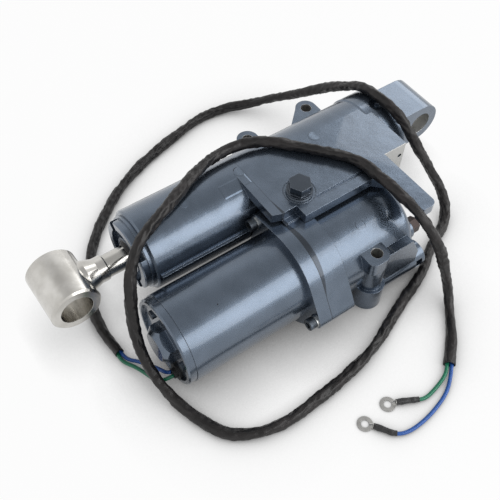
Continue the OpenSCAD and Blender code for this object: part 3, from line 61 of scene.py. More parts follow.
# Harness sleeve
# One black vinyl sleeve, shrunk unevenly over two wires, leaves the motor's tail, circles the
# whole unit once, crosses over the barrel and the plate, and ends beyond the reservoir. Its line
# is the one that the solids follow.
# All places and sizes typed from here on are in mm, up to the studio
FOOT = -57
FLOOR_GAP = 0.05
SLEEVE_R = 4.3
SLEEVE_STEP = 1.3
SLEEVE_SIDES = 28
SLEEVE_MOUTH_DEPTH = 4
SLEEVE_LINE = [
    (339, 46, -52.5), (340, 20, -52.5), (336, -6, -52.5), (325, -29, -52.5), (313, -52, -52.5),
    (296, -72, -52.5), (277, -89, -52.5), (256, -105, -52.5), (233, -117, -52.5),
    (209, -127, -52.5), (184, -134, -52.5), (159, -141, -52.5), (133, -145, -52.5),
    (108, -141, -51), (87, -129, -46), (70, -113, -35), (60, -94, -21), (53, -75, -5),
    (47, -56, 11), (45, -36, 25.5), (44.6, -24, 34.4), (44, -11, 40), (43.5, 2, 41),
    (42, 15, 39.8), (39, 29, 33.5), (35, 40, 22.5), (30, 50, 8), (20, 61, -14), (13, 75, -35),
    (15, 86, -46.5), (25, 96, -52.3), (43, 105, -52.5), (62, 115, -52.5), (75, 123.5, -52.5),
    (90, 130, -52.5), (111, 137.5, -52.5), (135, 147, -52.5), (158, 156.5, -52.5),
    (183, 163, -52.5), (209, 167, -52.5), (235, 169, -52.5), (261, 170, -52.5),
    (285, 165, -52.5), (306, 151, -52.5), (318, 128, -52), (325.5, 104, -47.5),
    (329.5, 83, -34.5), (328, 62, -17.5), (321.5, 45, 1), (312, 31, 20), (304, 24.5, 29.5),
    (294, 18.5, 36), (272, 9, 39.8), (248, -2, 40), (225, -14, 37.9), (202, -22, 35.5),
    (178, -22, 36), (158, -11, 39.2), (139, 9, 39.8), (121, 29, 39.8), (107, 50, 39.8),
    (103.5, 75, 39.9), (102.3, 88, 39.6), (101.8, 101, 38.9), (101.3, 110, 37.9),
    (100.3, 116.5, 35.7), (98.7, 121.5, 31.8), (96.8, 126, 27), (94, 132, 19.5), (90, 138, 8),
    (83, 145, -16), (79.5, 150, -33), (80.5, 158, -46), (88, 169, -52.3), (105, 189, -52.5),
    (124, 206, -52.5),
]


def metres(points):
    return [Vector(p) * MM for p in points]


def run_length(line):
    return sum((b - a).length for a, b in zip(line, line[1:]))


def smooth_line(points, step):
    """Points about a step apart on one smooth curve through the given ones, and its length."""
    parts = 16
    ends = [points[0] * 2 - points[1]] + points + [points[-1] * 2 - points[-2]]
    fine = []
    for p0, p1, p2, p3 in zip(ends, ends[1:], ends[2:], ends[3:]):
        t1 = (p1 - p0).length ** 0.5
        t2 = t1 + (p2 - p1).length ** 0.5
        t3 = t2 + (p3 - p2).length ** 0.5
        for i in range(parts):
            t = t1 + (t2 - t1) * i / parts
            a1 = p0.lerp(p1, t / t1)
            a2 = p1.lerp(p2, (t - t1) / (t2 - t1))
            a3 = p2.lerp(p3, (t - t2) / (t3 - t2))
            b1 = a1.lerp(a2, t / t2)
            b2 = a2.lerp(a3, (t - t1) / (t3 - t1))
            fine.append(b1.lerp(b2, (t - t1) / (t2 - t1)))
    fine.append(points[-1].copy())
    length = run_length(fine)
    count = max(4, round(length / step))
    even, walked, i = [fine[0]], 0.0, 0
    for k in range(1, count):
        goal = length * k / count
        while walked + (fine[i + 1] - fine[i]).length < goal:
            walked += (fine[i + 1] - fine[i]).length
            i += 1
        even.append(fine[i].lerp(fine[i + 1], (goal - walked) / (fine[i + 1] - fine[i]).length))
    even.append(fine[-1])
    return even, length


def piece(name, mesh, body="housing"):
    """Turns a finished mesh into a smooth object that rides on a body."""
    bmesh.ops.recalc_face_normals(mesh, faces=mesh.faces)
    data = bpy.data.meshes.new(name)
    mesh.to_mesh(data)
    mesh.free()
    for face in data.polygons:
        face.use_smooth = True
    made = bpy.data.objects.new(name, data)
    SCENE.collection.objects.link(made)
    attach(made, body)
    return made


def skin(mesh, rings):
    """Joins rings of points into a tube that is closed at both ends."""
    sides = len(rings[0])
    for low, high in zip(rings, rings[1:]):
        for k in range(sides):
            mesh.faces.new((low[k], low[(k + 1) % sides], high[(k + 1) % sides], high[k]))
    mesh.faces.new(rings[0][::-1])
    mesh.faces.new(rings[-1])


def swept(name, line, radius, sides, hollow=0):
    """Tube along a line that rests on the floor where it meets it. radius(i, angle) is in mm.
    With hollow, both ends are open that many mm deep, as on a cut sleeve."""
    bottom, rim = 0.84, 0.86
    mesh = bmesh.new()
    up = Vector((0, 0, 1))
    frames = []
    for i, p in enumerate(line):
        way = (line[min(i + 1, len(line) - 1)] - line[max(i - 1, 0)]).normalized()
        up = (up - way * up.dot(way)).normalized()
        frames.append((p, up.copy(), way.cross(up), way))

    def ring(i, scale=1.0, shift=0.0):
        p, n, s, way = frames[i]
        made = []
        for k in range(sides):
            a = 2 * math.pi * k / sides
            out = (n * math.cos(a) + s * math.sin(a)) * radius(i, a) * scale * MM
            at = p + way * shift * MM + out
            at.z = max(at.z, (FOOT + FLOOR_GAP) * MM)
            made.append(mesh.verts.new(at))
        return made

    last = len(line) - 1
    rings = [ring(i) for i in range(last + 1)]
    if hollow:
        first_mouth = [ring(0, bottom, hollow), ring(0, rim)]
        last_mouth = [ring(last, rim), ring(last, bottom, -hollow)]
        rings = first_mouth + rings + last_mouth
    skin(mesh, rings)
    return piece(name, mesh)


class Wire:
    """One output of a shader node. Arithmetic on it makes Math nodes, and node() any other."""

    def __init__(self, socket, tree):
        self.socket, self.tree = socket, tree

    def node(self, kind, settings=None, inputs=None, out=0):
        made = self.tree.nodes.new("ShaderNode" + kind)
        for key, value in (settings or {}).items():
            setattr(made, key, value)
        for key, value in (inputs or {}).items():
            if isinstance(value, Wire):
                self.tree.links.new(value.socket, made.inputs[key])
            else:
                made.inputs[key].default_value = value
        return Wire(made.outputs[out], self.tree)

    def math(self, operation, *values):
        inputs = dict(enumerate(values))
        return self.node("Math", {"operation": operation}, inputs)

    def __add__(self, other):
        return self.math("ADD", self, other)

    def __radd__(self, other):
        return self.math("ADD", other, self)

    def __sub__(self, other):
        return self.math("SUBTRACT", self, other)

    def __rsub__(self, other):
        return self.math("SUBTRACT", other, self)

    def __mul__(self, other):
        return self.math("MULTIPLY", self, other)

    def __rmul__(self, other):
        return self.math("MULTIPLY", other, self)

    def __pow__(self, other):
        return self.math("POWER", self, other)

    def __lt__(self, other):
        return self.math("LESS_THAN", self, other)

    def __gt__(self, other):
        return self.math("GREATER_THAN", self, other)

    def __abs__(self):
        return self.math("ABSOLUTE", self)

    def into(self, socket):
        self.tree.links.new(self.socket, socket)


def most(first, *others):
    """The greatest of several values."""
    for other in others:
        first = first.math("MAXIMUM", first, other)
    return first


def grain(place, per_metre, detail=3.0, roughness=0.5):
    """Noise from 0 to 1 with that many lumps per metre."""
    return place.node("TexNoise", None, {
        "Vector": place, "Scale": per_metre, "Detail": detail, "Roughness": roughness})


def ramp(value, low, high):
    """0 below low and 1 above high, with a soft step between them."""
    return value.node("MapRange", {"interpolation_type": "SMOOTHSTEP"}, {
        "Value": value, "From Min": low, "From Max": high})


def blend(factor, first, second):
    """Colour between two others."""
    return factor.node("Mix", {"data_type": "RGBA"}, {0: factor, 6: first, 7: second}, 2)


def finish_of(name, metallic, roughness, coat=0.0):
    """New material: itself, its shader, and the place on the object in metres."""
    made = bpy.data.materials.new(name)
    made.use_nodes = True
    tree = made.node_tree
    shader = tree.nodes["Principled BSDF"]
    shader.inputs["Metallic"].default_value = metallic
    shader.inputs["Roughness"].default_value = roughness
    shader.inputs["Coat Weight"].default_value = coat
    place = Wire(tree.nodes.new("ShaderNodeTexCoord").outputs["Object"], tree)
    return made, shader, place


def relief(shader, height, soften=0.0):
    """Bump from a height in millimetres, over edges that are rounded by soften mm."""
    inputs = {"Height": height, "Distance": MM, "Strength": 1.0}
    if soften:
        inputs["Normal"] = height.node("Bevel", {"samples": 4}, {"Radius": soften * MM})
    height.node("Bump", None, inputs).into(shader.inputs["Normal"])


def dress(made, *pieces):
    for one in pieces:
        one = node[one] if isinstance(one, str) else one
        one.data.materials.clear()
        one.data.materials.append(made)


def sleeve_wrinkle(i, a):
    """Creases run mostly across the sleeve and twist a little round it."""
    along = i * SLEEVE_STEP
    a = a + along * 0.03
    crease = noise.noise(Vector((along * 0.20, math.cos(a) * 1.1 + 5, math.sin(a) * 1.1)))
    fold = noise.noise(Vector((along * 0.06, math.cos(a) * 1.5, math.sin(a) * 1.5 + 9)))
    flat = math.cos(2 * a + 2.5 * noise.noise(Vector((along * 0.025, 2, 7))))
    spot = Vector((along * 0.15 + a * 0.5, math.cos(a) * 1.4, math.sin(a) * 1.4 + 3))
    ridge = 0.4 - 2 * abs(noise.noise(spot))
    # The sharp ridges grow over the first 90 mm and die away over the last 110 mm
    calm = min(1.0, along / 90, (sleeve_length / MM - along) / 110) ** 2
    return SLEEVE_R + 0.15 + 0.40 * crease + 0.70 * fold + 0.35 * flat + 0.75 * ridge * calm


sleeve_line, sleeve_length = smooth_line(metres(SLEEVE_LINE), SLEEVE_STEP * MM)
sleeve = swept("wrinkled_sleeve", sleeve_line, sleeve_wrinkle, SLEEVE_SIDES,
               hollow=SLEEVE_MOUTH_DEPTH)
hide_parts("harness_sleeve")

vinyl, shader, place = finish_of("black_vinyl", 0.0, 0.42)
shader.inputs["Specular IOR Level"].default_value = 0.4
fine, broad = grain(place, 700), grain(place, 90)
blend(ramp(broad, 0.35, 0.7), (0.008, 0.007, 0.007, 1), (0.019, 0.016, 0.016, 1)).into(
    shader.inputs["Base Color"])
(0.27 + 0.20 * broad + 0.08 * fine).into(shader.inputs["Roughness"])
relief(shader, 0.05 * fine + 0.40 * grain(place, 190, 2.0))
dress(vinyl, sleeve)

# Leads
# Two insulated wires run through the sleeve: a green and a blue one. They come out of the
# motor's grommet, and at the far end they go on past the sleeve to a terminal each.
LEAD_R = 1.6
LEAD_STEP = 1.5
LEAD_SIDES = 14
LEAD_EASINGS = 14
LEADS = {
    "green_motor_lead": ("green_leads", [
        (315.5, 91.8, -43), (318.5, 91.8, -43), (327, 88.3, -46), (331.5, 74, -49.8),
        (336, 62, -51.5), (340.6, 54, -53), (340.4, 42, -53)]),
    "blue_motor_lead": ("blue_leads", [
        (315.5, 88.2, -43), (318.5, 88.2, -43), (321, 80, -45.5), (325.5, 70, -49.5),
        (331, 60, -52), (336.8, 54, -53), (337.6, 42, -53)]),
    "green_free_lead": ("green_leads", [
        (122.3, 201.9, -53), (125.27, 204.58, -53), (131.23, 209.92, -53), (147, 214.5, -55),
        (162, 216, -55), (165.17, 213.62, -54.4), (169.8, 211.26, -54.4)]),
    "blue_free_lead": ("blue_leads", [
        (119.8, 204.8, -53), (122.73, 207.42, -53), (128.69, 212.75, -53), (140, 221, -55),
        (154, 226, -55.2), (174, 229.5, -55.2), (191, 229, -55), (199.16, 225.35, -54.4),
        (202, 221.1, -54.4)]),
}
leads, lead_facts = {}, {}
for name, (solid, points) in LEADS.items():
    line = smooth_line(metres(points), LEAD_STEP * MM)[0]
    for _ in range(LEAD_EASINGS):
        line[1:-1] = [(a + b * 2 + c) / 4 for a, b, c in zip(line, line[1:], line[2:])]
    leads[name] = swept(name, line, lambda i, a: LEAD_R, LEAD_SIDES)
    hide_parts(solid)
    lead_facts[name] = (line, run_length(line))

for colour, dark, light in (("green", (0.010, 0.165, 0.085, 1), (0.018, 0.250, 0.135, 1)),
                            ("blue", (0.018, 0.090, 0.360, 1), (0.032, 0.140, 0.500, 1))):
    insulation, shader, place = finish_of(colour + "_insulation", 0.0, 0.3)
    broad = grain(place, 160)
    blend(broad, dark, light).into(shader.inputs["Base Color"])
    (0.26 + 0.16 * broad).into(shader.inputs["Roughness"])
    relief(shader, 0.02 * grain(place, 900))
    dress(insulation, leads[colour + "_motor_lead"], leads[colour + "_free_lead"])

# Ring terminals
# Each free lead ends in a tin-plated copper ring terminal. Its crimped barrel sits under a
# short piece of black heat shrink, and the ring lies flat on the floor.
# Middle of each ring, and the direction from its barrel to its ring in degrees
TERMINALS = {"green": ((187, 202.5), -27), "blue": ((212.5, 204.8), -57)}
RING_R, RING_HOLE_R, TERMINAL_Z = 6.25, 3.2, -54.4
SHEET, EDGE_BREAK = 1.0, 0.12
TONGUE_END, TONGUE_HALF = 9.5, 2.1
BEND_START, BEND_RUN, BEND_RISE = 5.6, 3.9, 1.5
# Place along the barrel, its radius there, and how deep the dent in its top is
BARREL = ((-6.0, 1.95, 0), (-6.1, 2.2, 0), (-7.0, 2.2, 0), (-7.8, 2.15, 0.7),
          (-8.6, 2.15, 0.7), (-9.4, 2.2, 0), (-12.0, 2.2, 0))
RING_SIDES, BARREL_SIDES = 72, 20
SHRINK_START, SHRINK_RUN, SHRINK_STOPS, SHRINK_SIDES = 6.6, 12.4, 8, 18


def ring_terminal(name, place, turn):
    """Flat ring with a tongue behind it, and the barrel that the tongue rolls into."""
    mesh = bmesh.new()
    rows = []
    for z, inset in ((0.0, EDGE_BREAK), (EDGE_BREAK, 0.0),
                     (SHEET - EDGE_BREAK, 0.0), (SHEET, EDGE_BREAK)):
        outer, inner = [], []
        for k in range(RING_SIDES):
            a = 2 * math.pi * k / RING_SIDES
            c, s = math.cos(a), math.sin(a)
            reach = RING_R - inset
            if c < -0.1:
                side = (TONGUE_HALF - inset) / max(abs(s), 1e-3)
                reach = max(reach, min(TONGUE_END / -c, side))
            lift = max(0.0, (-c * reach - BEND_START) / BEND_RUN) ** 2 * BEND_RISE
            outer.append(mesh.verts.new((c * reach, s * reach, z + lift)))
            inner.append(mesh.verts.new((c * (RING_HOLE_R + inset), s * (RING_HOLE_R + inset), z)))
        rows.append((outer, inner))
    for (o0, i0), (o1, i1) in zip(rows, rows[1:]):
        for k in range(RING_SIDES):
            j = (k + 1) % RING_SIDES
            mesh.faces.new((o0[k], o0[j], o1[j], o1[k]))
            mesh.faces.new((i0[j], i0[k], i1[k], i1[j]))
    for (outer, inner), flip in ((rows[0], True), (rows[-1], False)):
        for k in range(RING_SIDES):
            j = (k + 1) % RING_SIDES
            quad = (outer[k], outer[j], inner[j], inner[k])
            mesh.faces.new(quad[::-1] if flip else quad)
    # Barrel: a rolled tube with a dent pressed into its top
    rings = []
    for x, r, dent in BARREL:
        ring = []
        for k in range(BARREL_SIDES):
            a = 2 * math.pi * k / BARREL_SIDES
            rise = (r - dent * max(0, math.sin(a)) ** 3) * math.sin(a)
            ring.append(mesh.verts.new((x, r * math.cos(a), TERMINAL_Z - FOOT + rise)))
        rings.append(ring)
    skin(mesh, rings)
    spot = Matrix.Translation(Vector((*place, FOOT)) * MM)
    spot = spot @ Matrix.Rotation(math.radians(turn), 4, "Z")
    mesh.transform(spot @ Matrix.Scale(MM, 4))
    made = piece(name, mesh)
    made.modifiers.new("edges", "EDGE_SPLIT").split_angle = math.radians(40)
    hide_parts("ring_terminals")
    return made


def shrink_line(place, turn, lead):
    """Middle line of a heat shrink, from the terminal's barrel back over the end of its lead."""
    way = Vector((math.cos(math.radians(turn)), math.sin(math.radians(turn)), 0))
    start = Vector((*place, TERMINAL_Z))
    straight = [(start - way * (SHRINK_START + SHRINK_RUN * t / SHRINK_STOPS)) * MM
                for t in range(SHRINK_STOPS)]
    lead_end = lead[:-7:-2]
    return smooth_line(straight + lead_end, 0.5 * MM)[0]


def shrink_radius(i, a):
    """Lumpy where it closes over the crimp, and thinner towards the wire."""
    lump = noise.noise(Vector((i * 0.16, math.cos(a), math.sin(a) + 3)))
    return 2.5 + 0.45 * lump - 0.35 * min(1.0, i / 50)


terminals, shrinks = {}, {}
for colour, (place, turn) in TERMINALS.items():
    terminals[colour] = ring_terminal(colour + "_ring_terminal", place, turn)
    covered = shrink_line(place, turn, lead_facts[colour + "_free_lead"][0])
    shrinks[colour] = swept(colour + "_heat_shrink", covered, shrink_radius, SHRINK_SIDES)
    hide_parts("heat_shrinks")
    line, length = lead_facts[colour + "_free_lead"]
    leads[colour + "_free_lead"]
    line, length = lead_facts[colour + "_motor_lead"]
    leads[colour + "_motor_lead"]

# The tin is dull and a little stained
tin, shader, place = finish_of("tin_plate", 1.0, 0.28)
streaks, broad = grain(place, 1400), grain(place, 220)
blend(broad, (0.36, 0.36, 0.35, 1), (0.54, 0.53, 0.51, 1)).into(shader.inputs["Base Color"])
(0.24 + 0.22 * broad).into(shader.inputs["Roughness"])
relief(shader, 0.012 * streaks, 0.12)
dress(tin, *terminals.values())

shrunk, shader, place = finish_of("heat_shrink_sleeve", 0.0, 0.45)
broad = grain(place, 400)
blend(broad, (0.016, 0.016, 0.017, 1), (0.034, 0.034, 0.035, 1)).into(shader.inputs["Base Color"])
(0.38 + 0.2 * broad).into(shader.inputs["Roughness"])
relief(shader, 0.05 * broad)
dress(shrunk, *shrinks.values())


# Main casting
# One aluminium casting holds the barrel, the lower eye, the top plate, the reservoir, the pump
# block and the posts. It is sprayed with metallic blue-grey enamel. The bores of the eye and the
# posts, the valve's mouth and the end block's side face stay bare.
PAINT_TONES = ((0.094, 0.124, 0.166), (0.114, 0.147, 0.195), (0.24, 0.265, 0.315))
# Lighter colour painted on edges as a highlight
EDGE_HIGHLIGHT_TONE = (0.33, 0.37, 0.43, 1)
# Dark colour painted in as shade where the block and the motor's flange meet
PAINTED_SHADE_TONE = (0.012, 0.014, 0.018, 1)
# The motor's axis across the unit, the block's face under the flange, and how near to that
# axis the painted shade between the two reaches
MOTOR_AXIS, BLOCK_FACE, SHADE_INNER_R = (75.0, -19.0), 189.0, 40.5
# Bare metal: the end block's side face, the eye's bore, the posts' bores and the valve's mouth
FACE_Y, FACE_START, FACE_END, FACE_TOP = 54.0, 55.5, 80.5, 35.5
EYE_R, EYE_HALF = 11.7, 20.95
POSTS, POST_R = ((80.5, -48.9), (148.5, -46.5), (135.5, 115.0)), 5.15
MOUTH, MOUTH_R, MOUTH_END = (110, -42), 8.1, 88.5
# Marks of the die on the barrel's crown, and the mark on the reservoir
CROWN_Z = 20.0
DISCS, DISC_R = ((246.4, 3.5), (191.4, 1.9), (115.8, 3.8)), 5.8
PAD, PAD_HALF_LENGTH, PAD_HALF_WIDTH = (203.0, 11.5), 13.5, 6.0
CORE_MARK, CORE_MARK_R, CORE_MARK_TOP, CORE_MARK_FOOT = (136.0, 92.0), 4.6, 24.0, 5.0
# Where the painted shade in the gap starts and ends round the motor's axis, in radians, and a
# factor of its width
LENS_START, LENS_END, LENS_DEPTH = 0.30, 2.15, 5.4


def enamel(name, waviness, depth=1.0):
    """Slate-blue metallic paint: clear coat over fine flakes, on a cast or drawn skin."""
    made, shader, place = finish_of(name, 0.85, 0.24, 0.55)
    shader.inputs["Coat Roughness"].default_value = 0.04
    flakes, broad, fine = grain(place, 4200, 1.0), grain(place, 55, 3.0), grain(place, 1100, 4.0)
    dark, light, flake = [[c * depth for c in tone] + [1] for tone in PAINT_TONES]
    colour = blend(ramp(broad, 0.3, 0.7), dark, light)
    colour = blend(ramp(flakes, 0.5, 0.8) * 0.5, colour, flake)
    # Where the rounded normal leaves the true one, the edges are painted lighter as a highlight
    edge = 1.0 - place.node("VectorMath", {"operation": "DOT_PRODUCT"}, {
        0: place.node("Bevel", {"samples": 4}, {"Radius": 0.7 * MM}),
        1: place.node("NewGeometry", None, None, 1)}, 1)
    edge_highlight = ramp(edge, 0.03, 0.25) * (0.32 + 0.20 * ramp(grain(place, 260), 0.4, 0.62))
    colour = blend(edge_highlight, colour, EDGE_HIGHLIGHT_TONE)
    gloss = 0.17 + 0.10 * broad + 0.10 * fine
    waves = 0.14 * grain(place, 130, 2.0) + 0.40 * grain(place, 45, 1.0)
    height = waviness * (0.025 * fine + waves)
    return made, shader, place, colour, gloss, height


def split(place):
    """The three coordinates of a place, in millimetres."""
    inputs = {0: place, "Scale": 1000.0}
    whole = place.node("VectorMath", {"operation": "SCALE"}, inputs)
    return [place.node("SeparateXYZ", None, {0: whole}, k) for k in range(3)]


def away(u, v, middle):
    """Distance of a place from an axis that crosses the two coordinates at middle."""
    return ((u - middle[0]) ** 2.0 + (v - middle[1]) ** 2.0) ** 0.5


casting, shader, place, colour, gloss, height = enamel("cast_enamel", 1.0)
x, y, z = split(place)
side_face = (abs(y - FACE_Y) < 0.2) * (x < FACE_END) * (x > FACE_START) * (z < FACE_TOP)
eye_bore = (away(x, z, (0, 0)) < EYE_R) * (abs(y) < EYE_HALF)
post_bores = [away(x, y, post) < POST_R for post in POSTS]
valve_mouth = (away(y, z, MOUTH) < MOUTH_R) * (x < MOUTH_END)
bare = most(side_face, eye_bore, *post_bores, valve_mouth)
milled = grain(place.node("Mapping", None, {"Vector": place, "Scale": (1.0, 1.0, 9.0)}), 520, 4.0)
metal = blend(milled, (0.46, 0.46, 0.45, 1), (0.66, 0.66, 0.64, 1))
(gloss + bare * (0.16 + 0.1 * milled)).into(shader.inputs["Roughness"])
(0.85 + 0.12 * bare).into(shader.inputs["Metallic"])
(0.55 - 0.55 * bare).into(shader.inputs["Coat Weight"])
# Three round pins of the die left tilted discs on the barrel's crown, with one flat pad
for spot in DISCS:
    disc = (z > CROWN_Z) * ramp(DISC_R - away(x, y, spot), 0.0, 1.1)
    height = height + 0.55 * disc * ramp(x - spot[0], -3.0, 5.0)
pad = ramp(PAD_HALF_LENGTH - abs(x - PAD[0]), 0.0, 1.6)
pad = pad * ramp(PAD_HALF_WIDTH - abs(y - PAD[1]), 0.0, 1.6) * (z > CROWN_Z)
height = height + 0.28 * pad
# A faint round mark shows on the reservoir, where its core was closed
core_mark = ramp(CORE_MARK_R - away(x, y, CORE_MARK), 0.0, 1.0)
height = height + (z < CORE_MARK_TOP) * (z > CORE_MARK_FOOT) * 0.16 * core_mark
# Where the block's edge falls away from the flange between two lobes, shade is painted dark
# into its colour: a thin strip all round, which widens into a lens there
above, beside = z - MOTOR_AXIS[1], y - MOTOR_AXIS[0]
angle = above.math("ARCTAN2", above, beside)
lens = (angle - LENS_START) * (LENS_END - angle) * LENS_DEPTH
shade = ramp(x - ((BLOCK_FACE - 0.4) - most(lens, 0.0)), 0.0, 0.7)
shade = shade * (x < BLOCK_FACE + 0.2) * (away(y, z, MOTOR_AXIS) > SHADE_INNER_R)
colour = blend(shade * 0.72, blend(bare, colour, metal), PAINTED_SHADE_TONE)
colour.into(shader.inputs["Base Color"])
relief(shader, height, 0.8)
dress(casting, "cylinder_housing")

# Gland end screw
# The castellated screw closes the barrel round the rod. It is painted with the unit, and the
# rubber wiper in its hub keeps the rod clean.
turned, shader, place, colour, gloss, height = enamel("turned_enamel", 0.35)
x, y, z = split(place)
# Fine rings that the lathe left on its face
lathe = x.math("SINE", away(y, z, (0, 0)) * 9.0)
colour.into(shader.inputs["Base Color"])
gloss.into(shader.inputs["Roughness"])
relief(shader, height + 0.006 * lathe, 0.35)
dress(turned, "gland_end_screw")

rubber, shader, place = finish_of("black_seal_rubber", 0.0, 0.5)
broad = grain(place, 300)
blend(broad, (0.012, 0.012, 0.013, 1), (0.03, 0.03, 0.031, 1)).into(shader.inputs["Base Color"])
(0.42 + 0.2 * broad).into(shader.inputs["Roughness"])
relief(shader, 0.02 * grain(place, 1500), 0.2)
dress(rubber, "dust_wiper", "gland_o_ring", "flange_o_ring", "shaft_seal", "free_piston_ring",
      "wire_grommet")

# Ram rod and rod eye
# The rod is ground and chromed, and it sits in the neck of the forged eye, which is turned,
# bored and nickel plated. Both shine a little warmer than the paint.
chrome, shader, place = finish_of("ground_chrome", 1.0, 0.16)
lines = grain(place.node("Mapping", None, {"Vector": place, "Scale": (18.0, 1.0, 1.0)}), 260, 3.0)
broad = grain(place, 60)
blend(broad, (0.44, 0.43, 0.40, 1), (0.62, 0.61, 0.58, 1)).into(shader.inputs["Base Color"])
(0.10 + 0.10 * lines + 0.06 * broad).into(shader.inputs["Roughness"])
relief(shader, 0.003 * lines, 0.2)
dress(chrome, "ram_rod", "gallery_ball", "shock_valve_balls", "up_check_ball", "down_check_ball")

nickel, shader, place = finish_of("nickel_plate", 1.0, 0.26)
x, y, z = split(place)
broad, fine = grain(place, 70), grain(place, 900, 4.0)
# The lathe's rings show on the eye's two end faces only
ROD_EYE, EYE_FACE_Y = (356, 0), 23.4
turning = x.math("SINE", away(x, z, ROD_EYE) * 11.0)
blend(ramp(broad, 0.25, 0.75), (0.50, 0.485, 0.455, 1), (0.66, 0.645, 0.615, 1)).into(
    shader.inputs["Base Color"])
(0.10 + 0.10 * broad + 0.08 * fine).into(shader.inputs["Roughness"])
relief(shader, 0.004 * turning * (abs(y) > EYE_FACE_Y) + 0.012 * fine, 0.5)
dress(nickel, "rod_eye")

# Motor
# The flange is cast and the tube is drawn steel, both painted with the unit. The cast tail cap
# has a dished face with a six-sided bump over the bush.
drawn, shader, place, colour, gloss, height = enamel("drawn_enamel", 0.16)
x, y, z = split(place)
# One dark pit in the paint on top of the tube
PIT, PIT_R = (271.0, 88.0), 0.6
speck = (away(x, y, PIT) < PIT_R) * (z > 0.0)
colour = blend(speck, colour, (0.03, 0.035, 0.045, 1))
colour.into(shader.inputs["Base Color"])
gloss.into(shader.inputs["Roughness"])
relief(shader, height, 0.3)
dress(drawn, "motor_yoke")

cap, shader, place, colour, gloss, height = enamel("cap_enamel", 0.6)
x, y, z = split(place)
# Shade is painted dark on the flange's rim next to the block's face, in the joint between them
seam_shade = (x < BLOCK_FACE + 0.4) * (away(y, z, MOTOR_AXIS) > SHADE_INNER_R)
blend(seam_shade * 0.8, colour, PAINTED_SHADE_TONE).into(shader.inputs["Base Color"])
gloss.into(shader.inputs["Roughness"])
relief(shader, height, 0.6)
dress(cap, "motor_flange", "motor_end_cap")

# Screws, washers and plugs
# Flange and cap screws, the release valve and the pump's screws are blackened steel, partly
# covered by the paint's overspray. The hexagon filler plug and the round port plug are painted
# with the unit. Washers and the valve's clip are zinc plated, and the tank's plug is primed.
# The filler plug's enamel is painted darker than the unit's, standing in for the dark reflection
# on its head
gloss_plug, shader, place, colour, gloss, height = enamel("plug_enamel", 0.25, 0.42)
colour.into(shader.inputs["Base Color"])
(gloss - 0.10).into(shader.inputs["Roughness"])
relief(shader, height, 0.6)
dress(gloss_plug, "filler_plug")

port, shader, place, colour, gloss, height = enamel("port_enamel", 0.25, 0.8)
colour.into(shader.inputs["Base Color"])
gloss.into(shader.inputs["Roughness"])
relief(shader, height, 0.6)
dress(port, "end_port_plug")

black, shader, place = finish_of("blackened_steel", 0.85, 0.4)
broad, fine = grain(place, 180), grain(place, 1200, 4.0)
blend(ramp(broad, 0.42, 0.66), (0.055, 0.062, 0.072, 1), (0.125, 0.15, 0.18, 1)).into(
    shader.inputs["Base Color"])
(0.30 + 0.18 * broad + 0.1 * fine).into(shader.inputs["Roughness"])
relief(shader, 0.02 * fine, 0.3)
dress(black, "flange_screws", "cap_screws", "release_valve", "piston_nut",
      "shock_valve_plate", "pump_screws")

brown, shader, place = finish_of("primed_plug", 0.55, 0.45)
broad = grain(place, 240)
blend(broad, (0.034, 0.024, 0.023, 1), (0.070, 0.050, 0.046, 1)).into(shader.inputs["Base Color"])
(0.35 + 0.25 * broad).into(shader.inputs["Roughness"])
relief(shader, 0.03 * grain(place, 1000), 0.4)
dress(brown, "tank_plug")

zinc, shader, place = finish_of("zinc_plate", 1.0, 0.32)
broad = grain(place, 420)
blend(broad, (0.40, 0.42, 0.43, 1), (0.60, 0.60, 0.58, 1)).into(shader.inputs["Base Color"])
(0.24 + 0.22 * broad).into(shader.inputs["Roughness"])
relief(shader, 0.012 * grain(place, 1500), 0.25)
dress(zinc, "flange_washers", "release_valve_clip", "shuttle_spool", "shuttle_plugs",
      "relief_poppet", "relief_spring", "relief_adjuster", "brush_springs", "drive_end_bearing",
      "armature_shaft", "drive_coupling", "drive_gear", "driven_gear")

# Inside pieces
# These never show on the whole unit, but they are seen when it is taken apart: machined
# aluminium, seals, magnets, core, copper, brass, moulded board and carbon.
INSIDE = {
    "machined_aluminium": (1.0, (0.50, 0.50, 0.49, 1), (0.66, 0.66, 0.65, 1), 0.25, 0.2, 600,
                           ("piston", "free_piston", "pump_body", "pump_cover", "filler_seal")),
    "filled_seal_plastic": (0.0, (0.44, 0.40, 0.31, 1), (0.58, 0.53, 0.43, 1), 0.45, 0.2, 300,
                            ("rod_seal", "piston_ring")),
    "sintered_magnet": (0.2, (0.030, 0.030, 0.032, 1), (0.07, 0.07, 0.075, 1), 0.55, 0.25, 900,
                        ("magnets",)),
    "stacked_steel": (0.9, (0.14, 0.14, 0.15, 1), (0.26, 0.26, 0.27, 1), 0.4, 0.2, 1500,
                      ("armature_core",)),
    "lacquered_copper": (1.0, (0.42, 0.16, 0.07, 1), (0.62, 0.27, 0.13, 1), 0.25, 0.2, 700,
                         ("armature_windings", "commutator")),
    "brass_and_bronze": (1.0, (0.44, 0.32, 0.12, 1), (0.60, 0.45, 0.20, 1), 0.28, 0.2, 500,
                         ("end_bush", "check_seats", "suction_strainer")),
    "moulded_board": (0.0, (0.030, 0.016, 0.009, 1), (0.065, 0.036, 0.02, 1), 0.4, 0.2, 400,
                      ("brush_holder",)),
    "pressed_carbon": (0.1, (0.012, 0.012, 0.013, 1), (0.035, 0.035, 0.037, 1), 0.5, 0.25, 900,
                       ("brushes",)),
}
for name, (metallic, dark, light, rough, spread, lumps, solids) in INSIDE.items():
    made, shader, place = finish_of(name, metallic, rough)
    broad = grain(place, lumps)
    blend(broad, dark, light).into(shader.inputs["Base Color"])
    (rough + spread * broad).into(shader.inputs["Roughness"])
    relief(shader, 0.02 * broad, 0.2)
    dress(made, *solids)

# Studio
# Pale seamless floor under the bolt posts and a pale backdrop all round, dimmer overhead. One
# broad soft light stands beside the reservoir and a weak one opposite lifts the shade.
MIDDLE = (0.17, 0.03)


